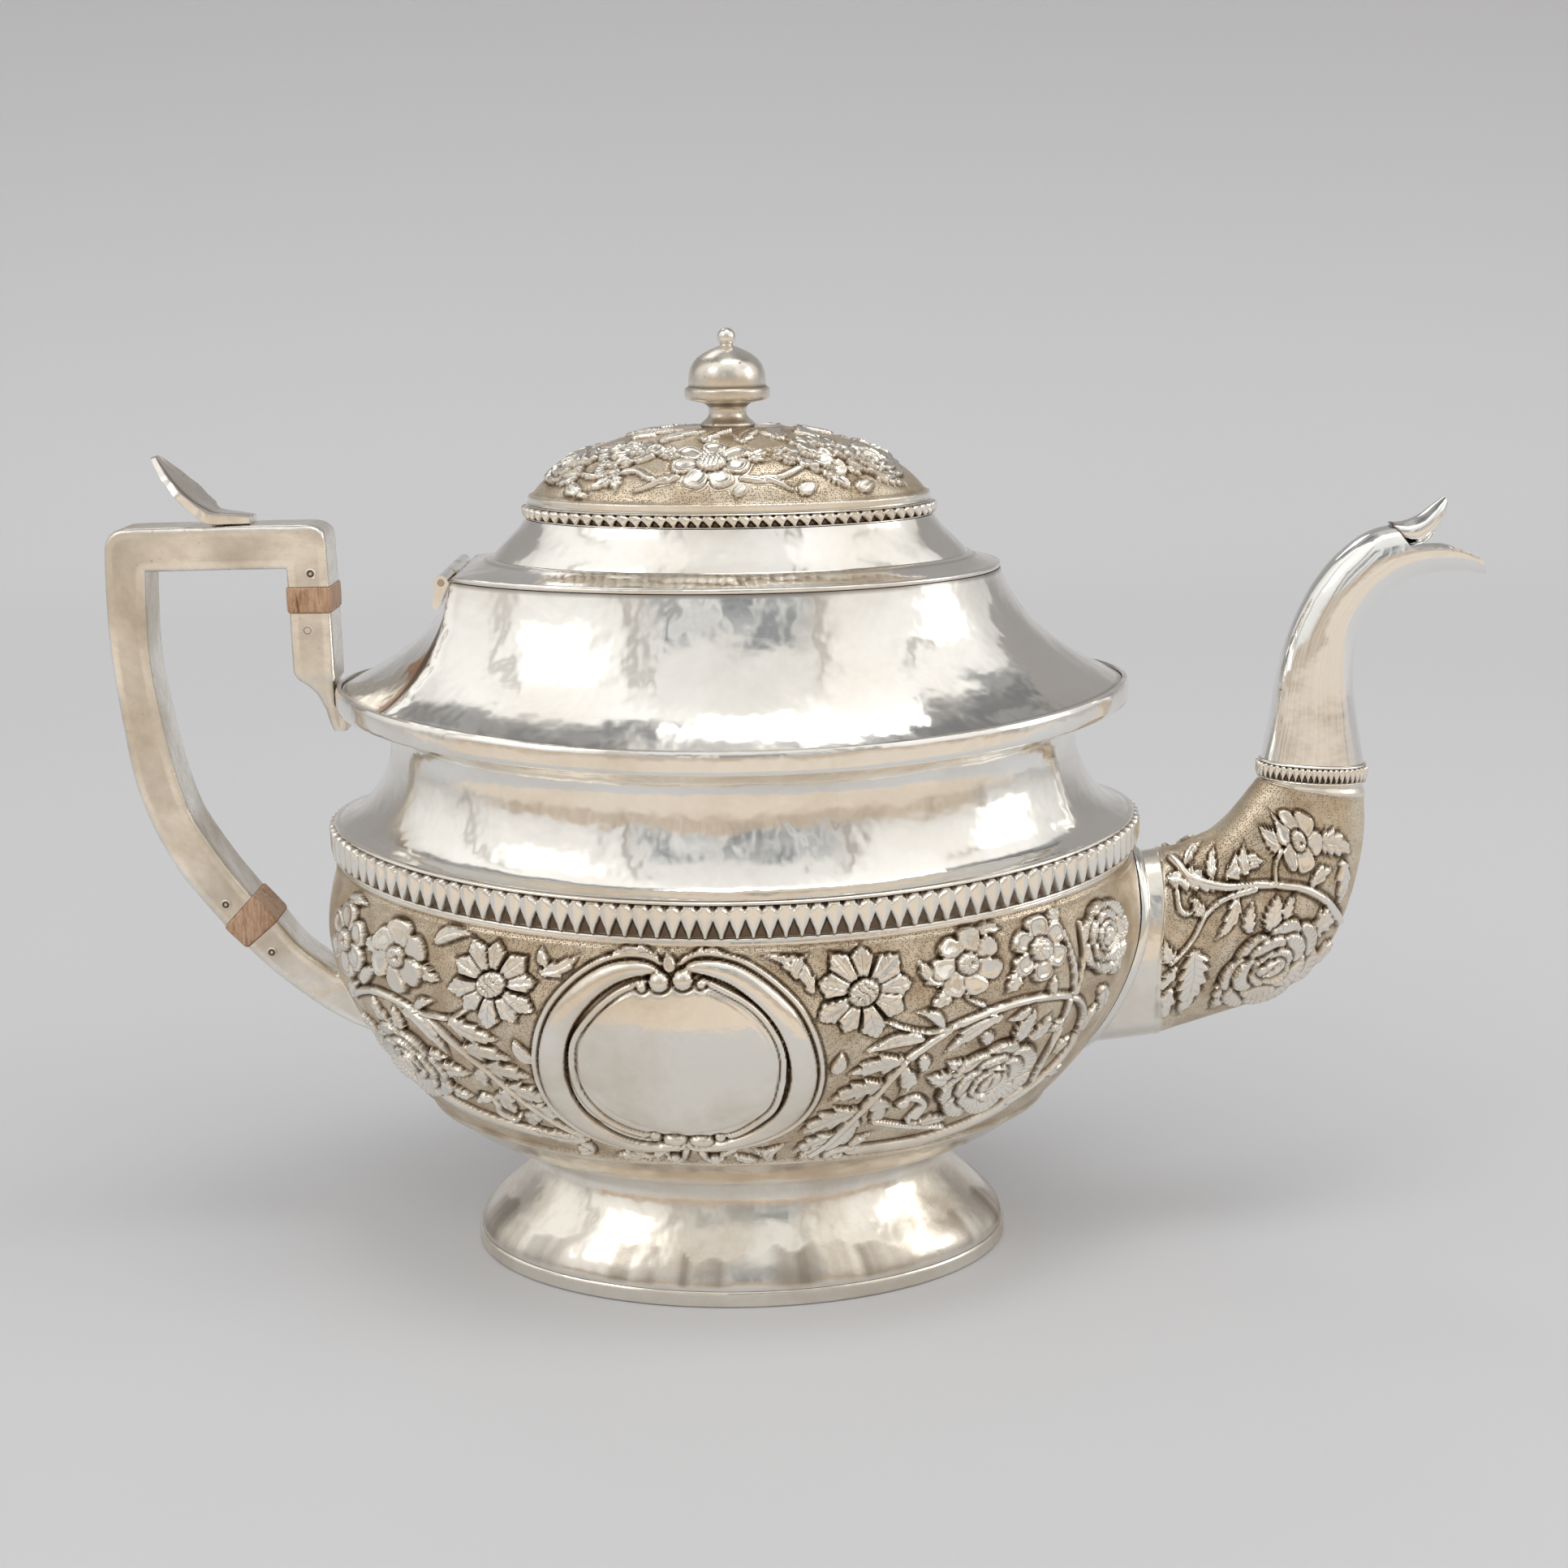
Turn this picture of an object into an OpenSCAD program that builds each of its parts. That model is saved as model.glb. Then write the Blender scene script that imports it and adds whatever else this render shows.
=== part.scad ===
// Oval pedestal teapot in silver: raised bowl, applied bead band, waisted neck, overhanging
// shoulder with a concave deck, hinged lid, squared insulated handle and a two part spout.
// Millimetres. Drawn round the middle of the foot, spout towards +X, lid hinge axis along Y, and
// placed with the origin under the middle of the whole length, so half way from grip to lip.

/* [Body] */
// Width of every body oval as a share of its length
plan_ratio = 0.66; // [0.6:0.01:0.74]
// Thickness of the raised sheet silver
wall = 0.9; // [0.7:0.05:1.3]
// Half length of the foot at its widest
foot_r = 53.2; // [50:0.2:58]
// Height of the plain strip round the foot
foot_strip_h = 3.2; // [2.4:0.1:4.5]
// How far the foot strip stands out past the flare
foot_strip_out = 0.5; // [0.3:0.1:0.9]
// Half length of the foot at its narrow waist
waist_r = 41; // [38:0.2:44]
// Height of the narrow waist
waist_h = 19.6; // [17:0.2:21]
// Half length where the foot is soldered to the bowl
seam_r = 42.5; // [41.5:0.1:45]
// Height of the foot seam
seam_h = 22.4; // [21.5:0.1:25]
// Half length of the bowl at its widest
belly_r = 80.2; // [78.8:0.1:84]
// Height of the widest place of the bowl
belly_h = 68; // [64:0.5:71]
// Half length where bowl and neck meet under the bead band
band_r = 77; // [75:0.1:77.8]
// Height of that joint at the two ends of the oval
band_h = 82; // [79:0.2:84]
// How far the band dips at the middle of each side
band_dip = 3.9; // [0:0.1:6]
// Half length of the neck at its narrowest
neck_r = 66; // [63:0.2:69]
// Height of the narrowest place of the neck
neck_h = 104.5; // [101:0.5:107]
// Half length of the shoulder edge
shoulder_r = 74.7; // [72:0.1:78]
// Rise from the narrowest place of the neck to the shoulder strip at the ends
shoulder_rise = 6.5; // [5:0.1:9]
// Height of the shoulder strip
shoulder_strip_h = 4.4; // [3:0.1:6]
// Thickness of the shoulder strip
shoulder_strip_t = 1.2; // [0.8:0.1:1.8]
// How far the shoulder dips at the middle of each side
shoulder_dip = 3.5; // [0:0.1:6]
// Half length of the mouth at the top of the deck
mouth_r = 51.3; // [49:0.1:54]
// Rise of the deck from the shoulder strip to the flat mouth edge
deck_rise = 20.9; // [18:0.1:24]
// Half width of the straight hinge edge at the mouth
hinge_edge = 15; // [12:0.5:17]
// Half width of the flattened hinge end at the shoulder
apron_foot = 26; // [22:0.5:30]
// Depth of the collar that stiffens the mouth
collar_h = 5; // [3.5:0.5:7]

/* [Chasing] */
// How far the chased flowers stand out of the sheet
chase_h = 0.9; // [0.5:0.05:1.1]
// Half length of the raised frame round the plain panel
frame_a = 26.5; // [23:0.5:27.5]
// Half height of that frame
frame_b = 22; // [19:0.5:23]
// Width of the frame
frame_w = 4; // [2.5:0.25:6]

/* [Bead band] */
// Number of notched beads round the body
beads = 140; // [100:2:160]
// Height of the bead row
bead_h = 4.9; // [3.5:0.1:6]
// How far a bead stands out of its strip
bead_out = 1.1; // [0.6:0.1:1.6]
// Height of the plain fillet under the beads
fillet_low = 1.9; // [1:0.1:3]
// Height of the plain fillet over the beads
fillet_high = 1; // [0.6:0.1:1.6]
// Thickness of the strip that carries the beads
band_t = 0.9; // [0.6:0.1:1.4]

/* [Lid] */
// Thickness of the lid sheet
lid_wall = 0.8; // [0.6:0.05:1.1]
// Air between the lid flange and the mouth edge
lid_gap = 0.1; // [0.08:0.02:0.3]
// Half length of the lid wall where it leaves the flange
lid_base_r = 45.2; // [43:0.1:47]
// Rise of the flange from its edge to the lid wall
flange_rise = 2; // [1.2:0.1:3]
// Half length of the lid wall at its top
lid_top_r = 38.6; // [36.5:0.1:41]
// Height of the lid wall
lid_wall_h = 7.2; // [5.5:0.1:9]
// Width of the upper lid as a share of its length
lid_ratio = 0.6; // [0.54:0.01:0.66]
// Height of the small bead ring on the lid
lid_bead_h = 2.8; // [2:0.1:4]
// Number of beads in the lid ring
lid_beads = 84; // [60:2:100]
// Rise of the chased dome over its ring
dome_rise = 13.6; // [11:0.2:16]
// Thickness of the chased dome
dome_wall = 1; // [0.8:0.05:1.3]
// Half length of the flat seat for the finial
finial_seat = 8.8; // [8.4:0.1:10]
// Depth of the bezel that drops into the mouth
bezel_h = 4; // [3:0.2:6]
// Air between bezel and mouth collar
bezel_gap = 0.5; // [0.4:0.05:0.8]

/* [Finial] */
// Radius of the flat disc of the finial
finial_disc_r = 8; // [7:0.1:9]
// Radius of the bell over the disc
finial_bell_r = 7.2; // [6:0.1:8]
// Height of the finial over the dome
finial_h = 18.2; // [16:0.2:21]
// Radius of the small ball on top
finial_ball_r = 1.75; // [1.3:0.05:2.2]
// Radius of the stud that holds the finial
finial_stud_r = 1.5; // [1.2:0.1:1.9]

/* [Hinge] */
// Radius of the hinge barrel
barrel_r = 1.3; // [1.1:0.05:1.6]
// Radius of the hinge pin
hinge_pin_r = 0.6; // [0.45:0.05:0.8]
// Radial air between pin and barrel
pin_air = 0.05; // [0.03:0.01:0.08]
// Half length of the lid's own knuckle
lid_knuckle = 5; // [3.5:0.25:7]
// Air between neighbouring knuckles
knuckle_gap = 0.2; // [0.15:0.05:0.4]
// Air between barrel and mouth edge
barrel_gap = 0.3; // [0.3:0.05:0.5]

/* [Handle] */
// Distance of the outer side of the grip from the middle
handle_reach = 118; // [112:0.5:124]
// Rise from the joint over the upper insulator to the top of the grip
handle_rise = 11.6; // [10.5:0.1:13]
// Width of the grip bar seen from the side
bar_w = 8; // [7:0.1:9]
// Thickness of the grip bar across
bar_t = 10; // [8.5:0.1:11.5]
// Chamfer along the bar edges
bar_edge = 0.9; // [0.5:0.1:1.4]
// Distance of the short upper leg from the middle
upper_leg = 75.6; // [75.4:0.1:79]
// Rise from the shoulder strip to the joint on top of the upper insulator
joint_rise = 18.9; // [17:0.1:20.5]
// Length of the upper insulator block
insulator_l = 5.1; // [4:0.1:7]
// How far the insulator blocks stand proud of the bar
insulator_proud = 0.25; // [0:0.05:0.5]
// Radius of the cross pins
pin_r = 1; // [0.8:0.05:1.2]
// Length of the tenons in the hollow bar ends
tenon_l = 7.5; // [6:0.5:8]
// Air round each tenon
tenon_air = 0.12; // [0.08:0.02:0.2]
// Half width of the thumb rest
thumb_w = 7; // [5:0.25:8.5]
// Height of the thumb rest tip over the grip
thumb_h = 12.5; // [9:0.5:15]

/* [Spout] */
// Half height of the spout root on the bowl
root_a = 19.6; // [17:0.2:21]
// Half width of the spout root on the bowl
root_b = 11.5; // [9.5:0.1:13]
// Drop from the foot of the bead band to the middle of the root
root_drop = 22.8; // [21.8:0.2:25]
// Thickness of the spout sheet
spout_wall = 1; // [0.8:0.05:1.3]
// Distance of the middle of the bead collar from the body middle
collar_x = 112.7; // [110:0.5:116]
// Height of the middle of the bead collar
collar_z = 95.5; // [92:0.5:99]
// Half length of the spout inside the bead collar
collar_a = 10; // [8.5:0.1:11.5]
// Width of the upper spout as a share of its length
spout_ratio = 0.62; // [0.55:0.01:0.72]
// How far the bead collar stands out
collar_out = 0.7; // [0.4:0.1:1.2]
// Distance of the spout lip from the middle
lip_x = 144; // [140:0.5:148]
// Height of the lip
lip_z = 133.3; // [130:0.5:137]
// Radius of the strainer holes behind the spout
strain_r = 1.3; // [1:0.1:1.5]
// Distance between strainer holes
strain_pitch = 4.4; // [4:0.1:5]

/* [Hidden] */
seg = 52;            // points round a body oval
tseg = 22;           // points round a spout section
fit = 0.05;          // air between fixed pieces that seat on one another
$fn = 64;
silver = [0.80, 0.79, 0.76];
dark = [0.66, 0.63, 0.58];
bone = [0.62, 0.42, 0.26];
shoulder_h = neck_h + shoulder_rise;
strip_top = shoulder_h + shoulder_strip_h;
mouth_h = strip_top + deck_rise;
upper_joint = strip_top + joint_rise;
handle_top = upper_joint + handle_rise;
joint_h = shoulder_h + 0.4 * shoulder_strip_h;
root_z = band_h - root_drop;
lid_z = mouth_h + lid_gap;
wall_z = lid_z + flange_rise;
ring_z = wall_z + lid_wall_h;
dome_z = ring_z + lid_bead_h;
dome_top = dome_z + dome_rise;
axis_x = -(mouth_r + barrel_gap + barrel_r);
axis_z = mouth_h - 0.1;
collar_t = 0.9;      // thickness of the mouth collar
collar_in = wall + fit + collar_t;

// ---------- curves ----------
function mix(a, b, u) = a + (b - a) * u;
function bez(p, u) = let (v = 1 - u)
    p[0] * v * v * v + p[1] * 3 * v * v * u + p[2] * 3 * v * u * u + p[3] * u * u * u;
function curve(p, n) = [for (i = [0:n]) bez(p, i / n)];
function unit(v) = v / max(norm(v), 1e-9);
// moves an open profile sideways to its left by w
function beside(p, w) = [for (i = [0:len(p) - 1])
    let (d = unit(p[min(i + 1, len(p) - 1)] - p[max(i - 1, 0)])) p[i] + w * [-d.y, d.x]];
function flip(p) = [for (i = [len(p) - 1:-1:0]) p[i]];
function smooth(u) = let (v = min(max(u, 0), 1)) v * v * (3 - 2 * v);
// turns an even count of steps into even steps along an oval
function even(phi, q) = let (e = (1 - q * q) / (1 + q * q)) phi + 180 / PI * e / 4 * sin(2 * phi);

// ---------- skins ----------
// rings that close on themselves like a tyre
module tyre(rings) {
    k = len(rings); n = len(rings[0]);
    polyhedron([for (r = rings) each r],
        [for (j = [0:k - 1], i = [0:n - 1])
            let (a = j * n + i, b = j * n + (i + 1) % n,
                 c = ((j + 1) % k) * n + (i + 1) % n, d = ((j + 1) % k) * n + i)
            each [[a, d, c], [a, c, b]]], convexity = 8);
}
// rings with a flat face at each end
module solid_skin(rings) {
    k = len(rings); n = len(rings[0]);
    polyhedron([for (r = rings) each r],
        concat([[for (i = [0:n - 1]) i]],
            [for (j = [0:k - 2], i = [0:n - 1])
                let (a = j * n + i, b = j * n + (i + 1) % n,
                     c = (j + 1) * n + (i + 1) % n, d = (j + 1) * n + i)
                each [[a, d, c], [a, c, b]]],
            [[for (i = [n - 1:-1:0]) (k - 1) * n + i]]), convexity = 8);
}

// rings with a low pyramid at each end
module boss_skin(rings, low, top) {
    k = len(rings); n = len(rings[0]); e = k * n;
    polyhedron(concat([for (r = rings) each r], [low, top]), concat(
        [for (i = [0:n - 1]) [i, (i + 1) % n, e]],
        [for (j = [0:k - 2], i = [0:n - 1])
            let (a = j * n + i, b = j * n + (i + 1) % n,
                 c = (j + 1) * n + (i + 1) % n, d = (j + 1) * n + i)
            each [[a, d, c], [a, c, b]]],
        [for (i = [0:n - 1]) [e - n + (i + 1) % n, e - n + i, e + 1]]), convexity = 6);
}

// ---------- body ovals ----------
// the dip of the body's edges at the middle of each side, by height
function dip(z) = z < band_h ? band_dip * smooth((z - seam_h) / (band_h - seam_h))
    : z < shoulder_h ? mix(band_dip, shoulder_dip, (z - band_h) / (shoulder_h - band_h))
    : z < strip_top ? shoulder_dip
    : shoulder_dip * (1 - smooth((z - strip_top) / (mouth_h - strip_top)));
// an oval ring: half length r, inset i from the outer oval
function oval(r, z, i = 0, n = seg) = [for (k = [0:n - 1]) let (t = 360 * k / n)
    [(r - i) * cos(t), (plan_ratio * r - i) * sin(t), z - dip(z) * pow(sin(t), 2)]];
// every second place of a profile, counted down, with both ends kept
function down(n) = concat([n - 1], [for (k = [n - 3:-2:1]) k], [0]);
// rings for an outer profile and its wall, outer side up and inner side down
function shell_rings(p, w) = let (q = beside(p, w)) concat(
    [for (v = p) oval(v.x, v.y)],
    [for (k = down(len(p))) oval(p[k].x, q[k].y, p[k].x - q[k].x)]);

foot_curve = curve([[foot_r, foot_strip_h + fit], [foot_r, foot_strip_h + 5],
    [waist_r, waist_h - 6], [waist_r, waist_h]], 12);
bowl_low = curve([[seam_r, seam_h], [seam_r + 17.8, seam_h + 1.8],
    [belly_r, belly_h - 16.4], [belly_r, belly_h]], 9);
bowl_high = curve([[belly_r, belly_h], [belly_r, belly_h + 4],
    [band_r + 1.8, band_h - 3.7], [band_r, band_h]], 3);
bowl_curve = concat(bowl_low, [for (i = [1:3]) bowl_high[i]]);
band_top = band_h + fillet_low + bead_h + fillet_high;
neck_low = concat([[band_r - 0.1, band_h + 0.06], [band_r - 0.3, band_top - 0.4]],
    curve([[band_r - 1.6, band_top + 0.2], [band_r - 5.8, band_top + 1.2],
        [neck_r, neck_h - 6], [neck_r, neck_h]], 5));
neck_high = curve([[neck_r, neck_h], [neck_r, neck_h + 4],
    [shoulder_r - 5, joint_h - wall - 1.6], [shoulder_r - 0.3, joint_h - wall - 0.15]], 3);
neck_curve = concat(neck_low, [for (i = [1:3]) neck_high[i]]);
// radius of the bowl's outside at a height
function bowl_r(z) = lookup(z, [for (v = bowl_curve) [v.y, v.x]]);
// the bowl's outside in front of a point across and a height, on the spout side
function bowl_x(y, z, out = 0) = let (r = bowl_r(z) + out, s = min(abs(y) / (plan_ratio * r), 0.9))
    r * sqrt(1 - s * s);

module foot_strip() color(silver) difference() {
    r = foot_r + foot_strip_out; h = foot_strip_h;
    scale([1, plan_ratio, 1]) rotate_extrude($fn = 200) polygon([[r - 1.6, -1], [r - 1.3, -1],
        [r, 0.3], [r, h - 0.4], [r - 0.3, h], [r - 1.6, h]]);
    // flat standing edge
    translate([-2 * r, -2 * r, -5]) cube([4 * r, 4 * r, 5]);
}

module foot() color(silver) scale([1, plan_ratio, 1]) rotate_extrude($fn = 128)
    polygon(concat(foot_curve, [[seam_r, seam_h], [seam_r - 2.4, seam_h]],
        flip([for (v = beside(foot_curve, wall)) [v.x, max(v.y, foot_strip_h + fit)]])));

// ---------- chased flowers ----------
// place on a raised sheet: angle from the middle of the side, height, distance out. The sheet is
// given by its radius at the height, its slope (radius gained in one millimetre up) and its width
// as a share of its length
function on_sheet(a, z, out, r, gain, q, drop = 0) = let (t = even(a - 90, q),
    s = unit([gain, 1]), n = unit([q * cos(t), sin(t)]))
    [r * cos(t), q * r * sin(t), z - drop * pow(sin(t), 2)] + out * [n.x * s.y, n.y * s.y, -s.x];
function on_bowl(a, z, out) = on_sheet(a, z, out, bowl_r(z), bowl_r(z + 0.5) - bowl_r(z - 0.5),
    plan_ratio, dip(z));
function on_dome(a, z, out) = on_sheet(a, z, out, dome_out(z), dome_out(z + 0.5) - dome_out(z - 0.5),
    (top_ry - 0.5) / dome_r);
// the same places by a name, so that one flower fits both sheets
function on(dome, a, z, out) = dome ? on_dome(a, z, out) : on_bowl(a, z, out);
// degrees round the sheet for one millimetre, and height for one millimetre up the sheet
function turn(dome, z) = 180 / PI
    / (dome ? dome_out(z) * (1 + lid_ratio) / 2 : bowl_r(z) * (1 + plan_ratio) / 2);
function climb(dome, z) = 1
    / norm([1, dome ? dome_out(z + 0.5) - dome_out(z - 0.5) : bowl_r(z + 0.5) - bowl_r(z - 0.5)]);
// a flower at angle a and height z with radius r and n petals; each layer gives its share of the
// radius, its height and how deep the notches between petals run
module flower(a, z, r, n, layers, dome = false) {
    w = turn(dome, z); h = climb(dome, z);
    boss_skin([for (g = layers) [for (j = [0:2 * n - 1])
        let (f = 180 * j / n, q = r * g[0] * (1 - (j % 2) * g[2]))
        on(dome, a + w * q * cos(f), z + h * q * sin(f), g[1] * chase_h)]],
        on(dome, a, z, layers[0][1] * chase_h), on(dome, a, z, layers[len(layers) - 1][1] * chase_h + 0.15));
}
root = -0.45;        // foot of every chased form, inside the sheet
daisy = [[1.06, root, 0.24], [0.84, 1, 0.24], [0.38, 0.4, 0], [0.26, 1.4, 0]];
cupped = [[1.06, root, 0.16], [0.86, 1.1, 0.15], [0.4, 0.4, 0], [0.28, 1.4, 0]];
rose = [[1.05, root, 0.12], [0.86, 1.05, 0.12], [0.66, 0.7, 0.1], [0.45, 1.5, 0.12]];
// lobed leaf or stem along places [angle, height over the root, half width], highest along its middle
module spray(places, top) {
    line = [for (v = places) [v.x, root_z + v.y, v.z]];
    n = len(line);
    boss_skin([for (i = [0:n - 1]) let (p = line[i], w = turn(false, p.y), h = climb(false, p.y),
        a = line[max(i - 1, 0)], b = line[min(i + 1, n - 1)],
        d = unit([(b.x - a.x) / w, (b.y - a.y) / h]))
        [for (s = [[-1.25, root], [0, top], [1.25, root]])
            on_bowl(p.x + d.y * w * s.x * p.z, p.y - d.x * h * s.x * p.z, s.y * chase_h)]],
        on_bowl(line[0].x, line[0].y, 0), on_bowl(line[n - 1].x, line[n - 1].y, 0));
}
// raised frame round the plain panel
module panel_frame() {
    a0 = -8.9; z0 = root_z - 2.4; w = turn(false, z0); h = climb(false, z0);
    tyre([for (g = [[0.1, root], [-0.25, 1], [-0.75, 1], [-1.1, root]])
        [for (j = [0:23]) let (f = 15 * j, i = frame_w * g.x)
            on_bowl(a0 + w * (frame_a + 1.2 * i) * cos(f),
                z0 + h * (frame_b + 0.7 * i) * sin(f), g.y * chase_h)]]);
}
module bowl_chasing() {
    panel_frame();
    for (f = [[-37.7, 12.1, 8.2, 9, daisy], [20.6, 12.6, 8.4, 9, daisy], [-55.3, 12.9, 6.4, 6, cupped],
        [-69.1, 11.5, 6.9, 6, cupped], [37.2, 15, 5.4, 6, cupped], [49.8, 14.4, 5.6, 6, cupped],
        [64, 12.3, 6.7, 7, rose], [-59.3, -10.2, 8.6, 7, rose], [44.6, -11.4, 9.1, 7, rose]])
        flower(f[0], root_z + f[1], f[2], f[3], f[4]);
    // main leaves, with their lobes, and the stem that runs on from the right one
    spray([[-45.6, -7.6, 1], [-43.8, -9.6, 3], [-42, -11, 1.7],
        [-40.6, -13, 3.4], [-38.6, -14.6, 1.8], [-36.8, -17, 3.4],
        [-34.6, -19, 1.7], [-31.8, -21.4, 2.8], [-28.4, -23.4, 0.8]], 0.9);
    spray([[27.6, -3.2, 0.9], [25.6, -7.4, 3], [24.4, -10, 1.7],
        [22.8, -13, 3.4], [21, -16, 1.8], [19.4, -19, 3.4],
        [17.6, -22, 1.6], [15.6, -25, 0.8]], 0.9);
    spray([[29.2, -1, 0.8], [35, 2.7, 0.9], [42.2, 4.8, 0.9], [49.5, 4.9, 0.9], [56, 2.9, 0.9], [60.4, -1, 0.9],
        [62.3, -6.8, 0.9], [60.8, -13, 0.9], [56, -18.6, 0.9]], 0.8);
    spray([[-66, 1.6, 0.8], [-58, 4.3, 0.9], [-50.4, 2.2, 0.9], [-46.6, -2.4, 0.8]], 0.8);
}

module bowl() color(silver) difference() {
    inner = beside(bowl_curve, wall);
    n = len(bowl_curve);
    union() {
        solid_skin(concat(
            [for (v = bowl_curve) oval(v.x, v.y)],
            [for (k = concat([n - 1], [for (j = [n - 2:-2:1]) j]))
                oval(bowl_curve[k].x, inner[k].y, bowl_curve[k].x - inner[k].x)],
            [oval(seam_r, seam_h + wall, 1)]));
        bowl_chasing();
        mirror([0, 1, 0]) bowl_chasing();
    }
    for (row = [-3:3], col = [-2:2]) {
        y = (col + (abs(row) % 2) * 0.5) * strain_pitch;
        z = root_z + row * strain_pitch * 0.87;
        if (pow(y / (root_b - 3.4), 2) + pow((z - root_z) / (root_a - 4), 2) < 1)
            translate([belly_r - 12, y, z]) rotate([0, 90, 0]) cylinder(r = strain_r, h = 16, $fn = 24);
    }
}

module neck() color(silver) tyre(shell_rings(neck_curve, wall));

// strip with two fillets and a row of four sided beads
module bead_band() {
    r0 = band_r + 0.12; z0 = band_h; z1 = z0 + fillet_low; z2 = z1 + bead_h; z3 = z2 + fillet_high;
    out = band_t; n = beads;
    function at(phi, r, z, o = 0) = let (t = even(phi, plan_ratio))
        [(r + o) * cos(t), (plan_ratio * r + o) * sin(t), z - band_dip * pow(sin(t), 2)];
    prof = [[0, z0], [out, z0], [out, z1], [out - 0.5, z1 + 0.15], [out - 0.5, z2],
        [out - 0.1, z3], [0, z3]];
    m = len(prof);
    pts = concat([for (i = [0:n - 1]) each [for (v = prof) at(360 * i / n, r0, v.y, v.x)]],
        [for (i = [0:n - 1]) at(360 * (i + 0.5) / n, r0, (z1 + z2) / 2, out - 0.5 + bead_out)]);
    faces = [for (i = [0:n - 1]) let (j = (i + 1) % n) each
        [for (k = [0:m - 1]) let (a = i * m + k, b = j * m + k, c = j * m + (k + 1) % m,
            d = i * m + (k + 1) % m, e = n * m + i) each
            k == 3 ? [[a, d, e], [d, c, e], [c, b, e], [b, a, e]] : [[a, d, c], [a, c, b]]]];
    color(silver) polyhedron(pts, faces, convexity = 8);
}

module shoulder_strip() color(silver) {
    t = shoulder_strip_t; r0 = shoulder_r + 0.12; h = shoulder_strip_h;
    prof = [[0, 0], [t, 0.3], [t, h - 0.5], [t - 0.4, h], [0, h]];
    tyre([for (v = prof) [for (k = [0:seg - 1]) let (a = 360 * k / seg)
        [(r0 + v.x) * cos(a), (plan_ratio * r0 + v.x) * sin(a),
            shoulder_h + v.y - shoulder_dip * pow(sin(a), 2)]]]);
}

// ---------- deck: oval at the shoulder, straight hinge edge at the mouth ----------
// s runs from 0 at the shoulder to 1 at the mouth, i is the inset
function deck_ring(r, z, s, i = 0) = let (
    ry = plan_ratio * r, w = mix(apron_foot, hinge_edge, s), cut = sqrt(1 - pow(w / ry, 2)),
    corner = r * mix(cut, 1, s), left = corner / cut)
    [for (k = [0:seg - 1]) let (t = 360 * k / seg, c = cos(t), y = ry * sin(t),
        x = c >= 0 ? r * c : left * c,
        edge = r - (r - corner) * pow(y / w, 2),
        px = x < -corner ? -edge : x,
        nrm = unit([c / max(r, 1), sin(t) / max(ry, 1)]),
        flat = x < -corner)
        [px - (flat ? -i : i * nrm.x), y - (flat ? i * sin(t) : i * nrm.y),
            z - dip(z) * pow(sin(t), 2)]];
deck_up = curve([[shoulder_r, strip_top - 0.6], [shoulder_r - 6.5, strip_top + 2.6],
    [mouth_r + 3.5, mouth_h - 11.5], [mouth_r, mouth_h]], 8);
function deck_s(z) = min(max((z - strip_top) / (mouth_h - strip_top), 0), 1);
function deck_r(z) = lookup(z, [for (v = deck_up) [v.y, v.x]]);

module deck() color(silver) {
    inner = beside(deck_up, wall);
    n = len(deck_up);
    tyre(concat([deck_ring(shoulder_r, joint_h, 0)],
        [for (v = deck_up) deck_ring(v.x, v.y, deck_s(v.y))],
        [deck_ring(mouth_r, mouth_h, 1, wall)],
        [for (k = [n - 2:-2:1]) let (v = deck_up[k], q = inner[k])
            deck_ring(v.x, min(q.y, mouth_h - 0.4), deck_s(v.y), v.x - q.x)],
        [deck_ring(shoulder_r, strip_top - 1.6, 0, 1), deck_ring(shoulder_r, joint_h, 0, 1)]));
}

// flat outline of the mouth, inset by i
function mouth_line(i) = [for (v = deck_ring(mouth_r, mouth_h, 1, i)) [v.x, v.y]];

module mouth_collar() color(silver) translate([0, 0, mouth_h - collar_h])
    linear_extrude(collar_h) difference() {
        polygon(mouth_line(wall + fit));
        polygon(mouth_line(collar_in));
    }

// ---------- spout ----------
// section of the spout: middle, half height a along the slope, half width b
function section(p, q, b, i = 0) = let (m = (p + q) / 2, d = unit(q - p), a = norm(q - p) / 2 - i)
    [for (k = [0:tseg - 1]) let (f = 360 * k / tseg)
        [m.x + d.x * a * cos(f), -(b - i) * sin(f), m.y + d.y * a * cos(f)]];
// ring that lies on the bowl
function root_ring(a, b, out, i = 0) = [for (k = [0:tseg - 1]) let (f = 360 * k / tseg,
    y = -(b - i) * sin(f), z = root_z + (a - i) * cos(f)) [bowl_x(y, z, out), y, z]];
function lift(ring, dx) = [for (v = ring) v + [dx, 0, 0]];
spout_b = collar_a * spout_ratio;
cz = collar_z; cx = collar_x;
rz = root_z;
lower_p = [[cx - 31.5, rz - 18.2], [cx - 24.3, rz - 16.1], [cx - 17.5, rz - 14], [cx - 10.7, rz - 11.8],
    [cx - 4, rz - 9.1], [cx + 1.5, rz - 5], [cx + 5.4, rz + 0.8], [cx + 8.2, rz + 8.2],
    [cx + 10.1, rz + 16.8], [cx + 10.8, rz + 24.8], [cx + collar_a, cz - 2.6]];
lower_q = [[cx - 25.8, rz + 21], [cx - 22.4, rz + 22.6], [cx - 19.3, rz + 24.1], [cx - 17, rz + 26.1],
    [cx - 15.3, rz + 28], [cx - 14, rz + 29.7], [cx - 13, rz + 31], [cx - 12.2, rz + 32.2],
    [cx - 11.4, rz + 33.2], [cx - 10.8, rz + 34], [cx - collar_a, cz - 1.6]];
function lower_b(u) = mix(root_b, spout_b, pow(u, 0.8));

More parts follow.
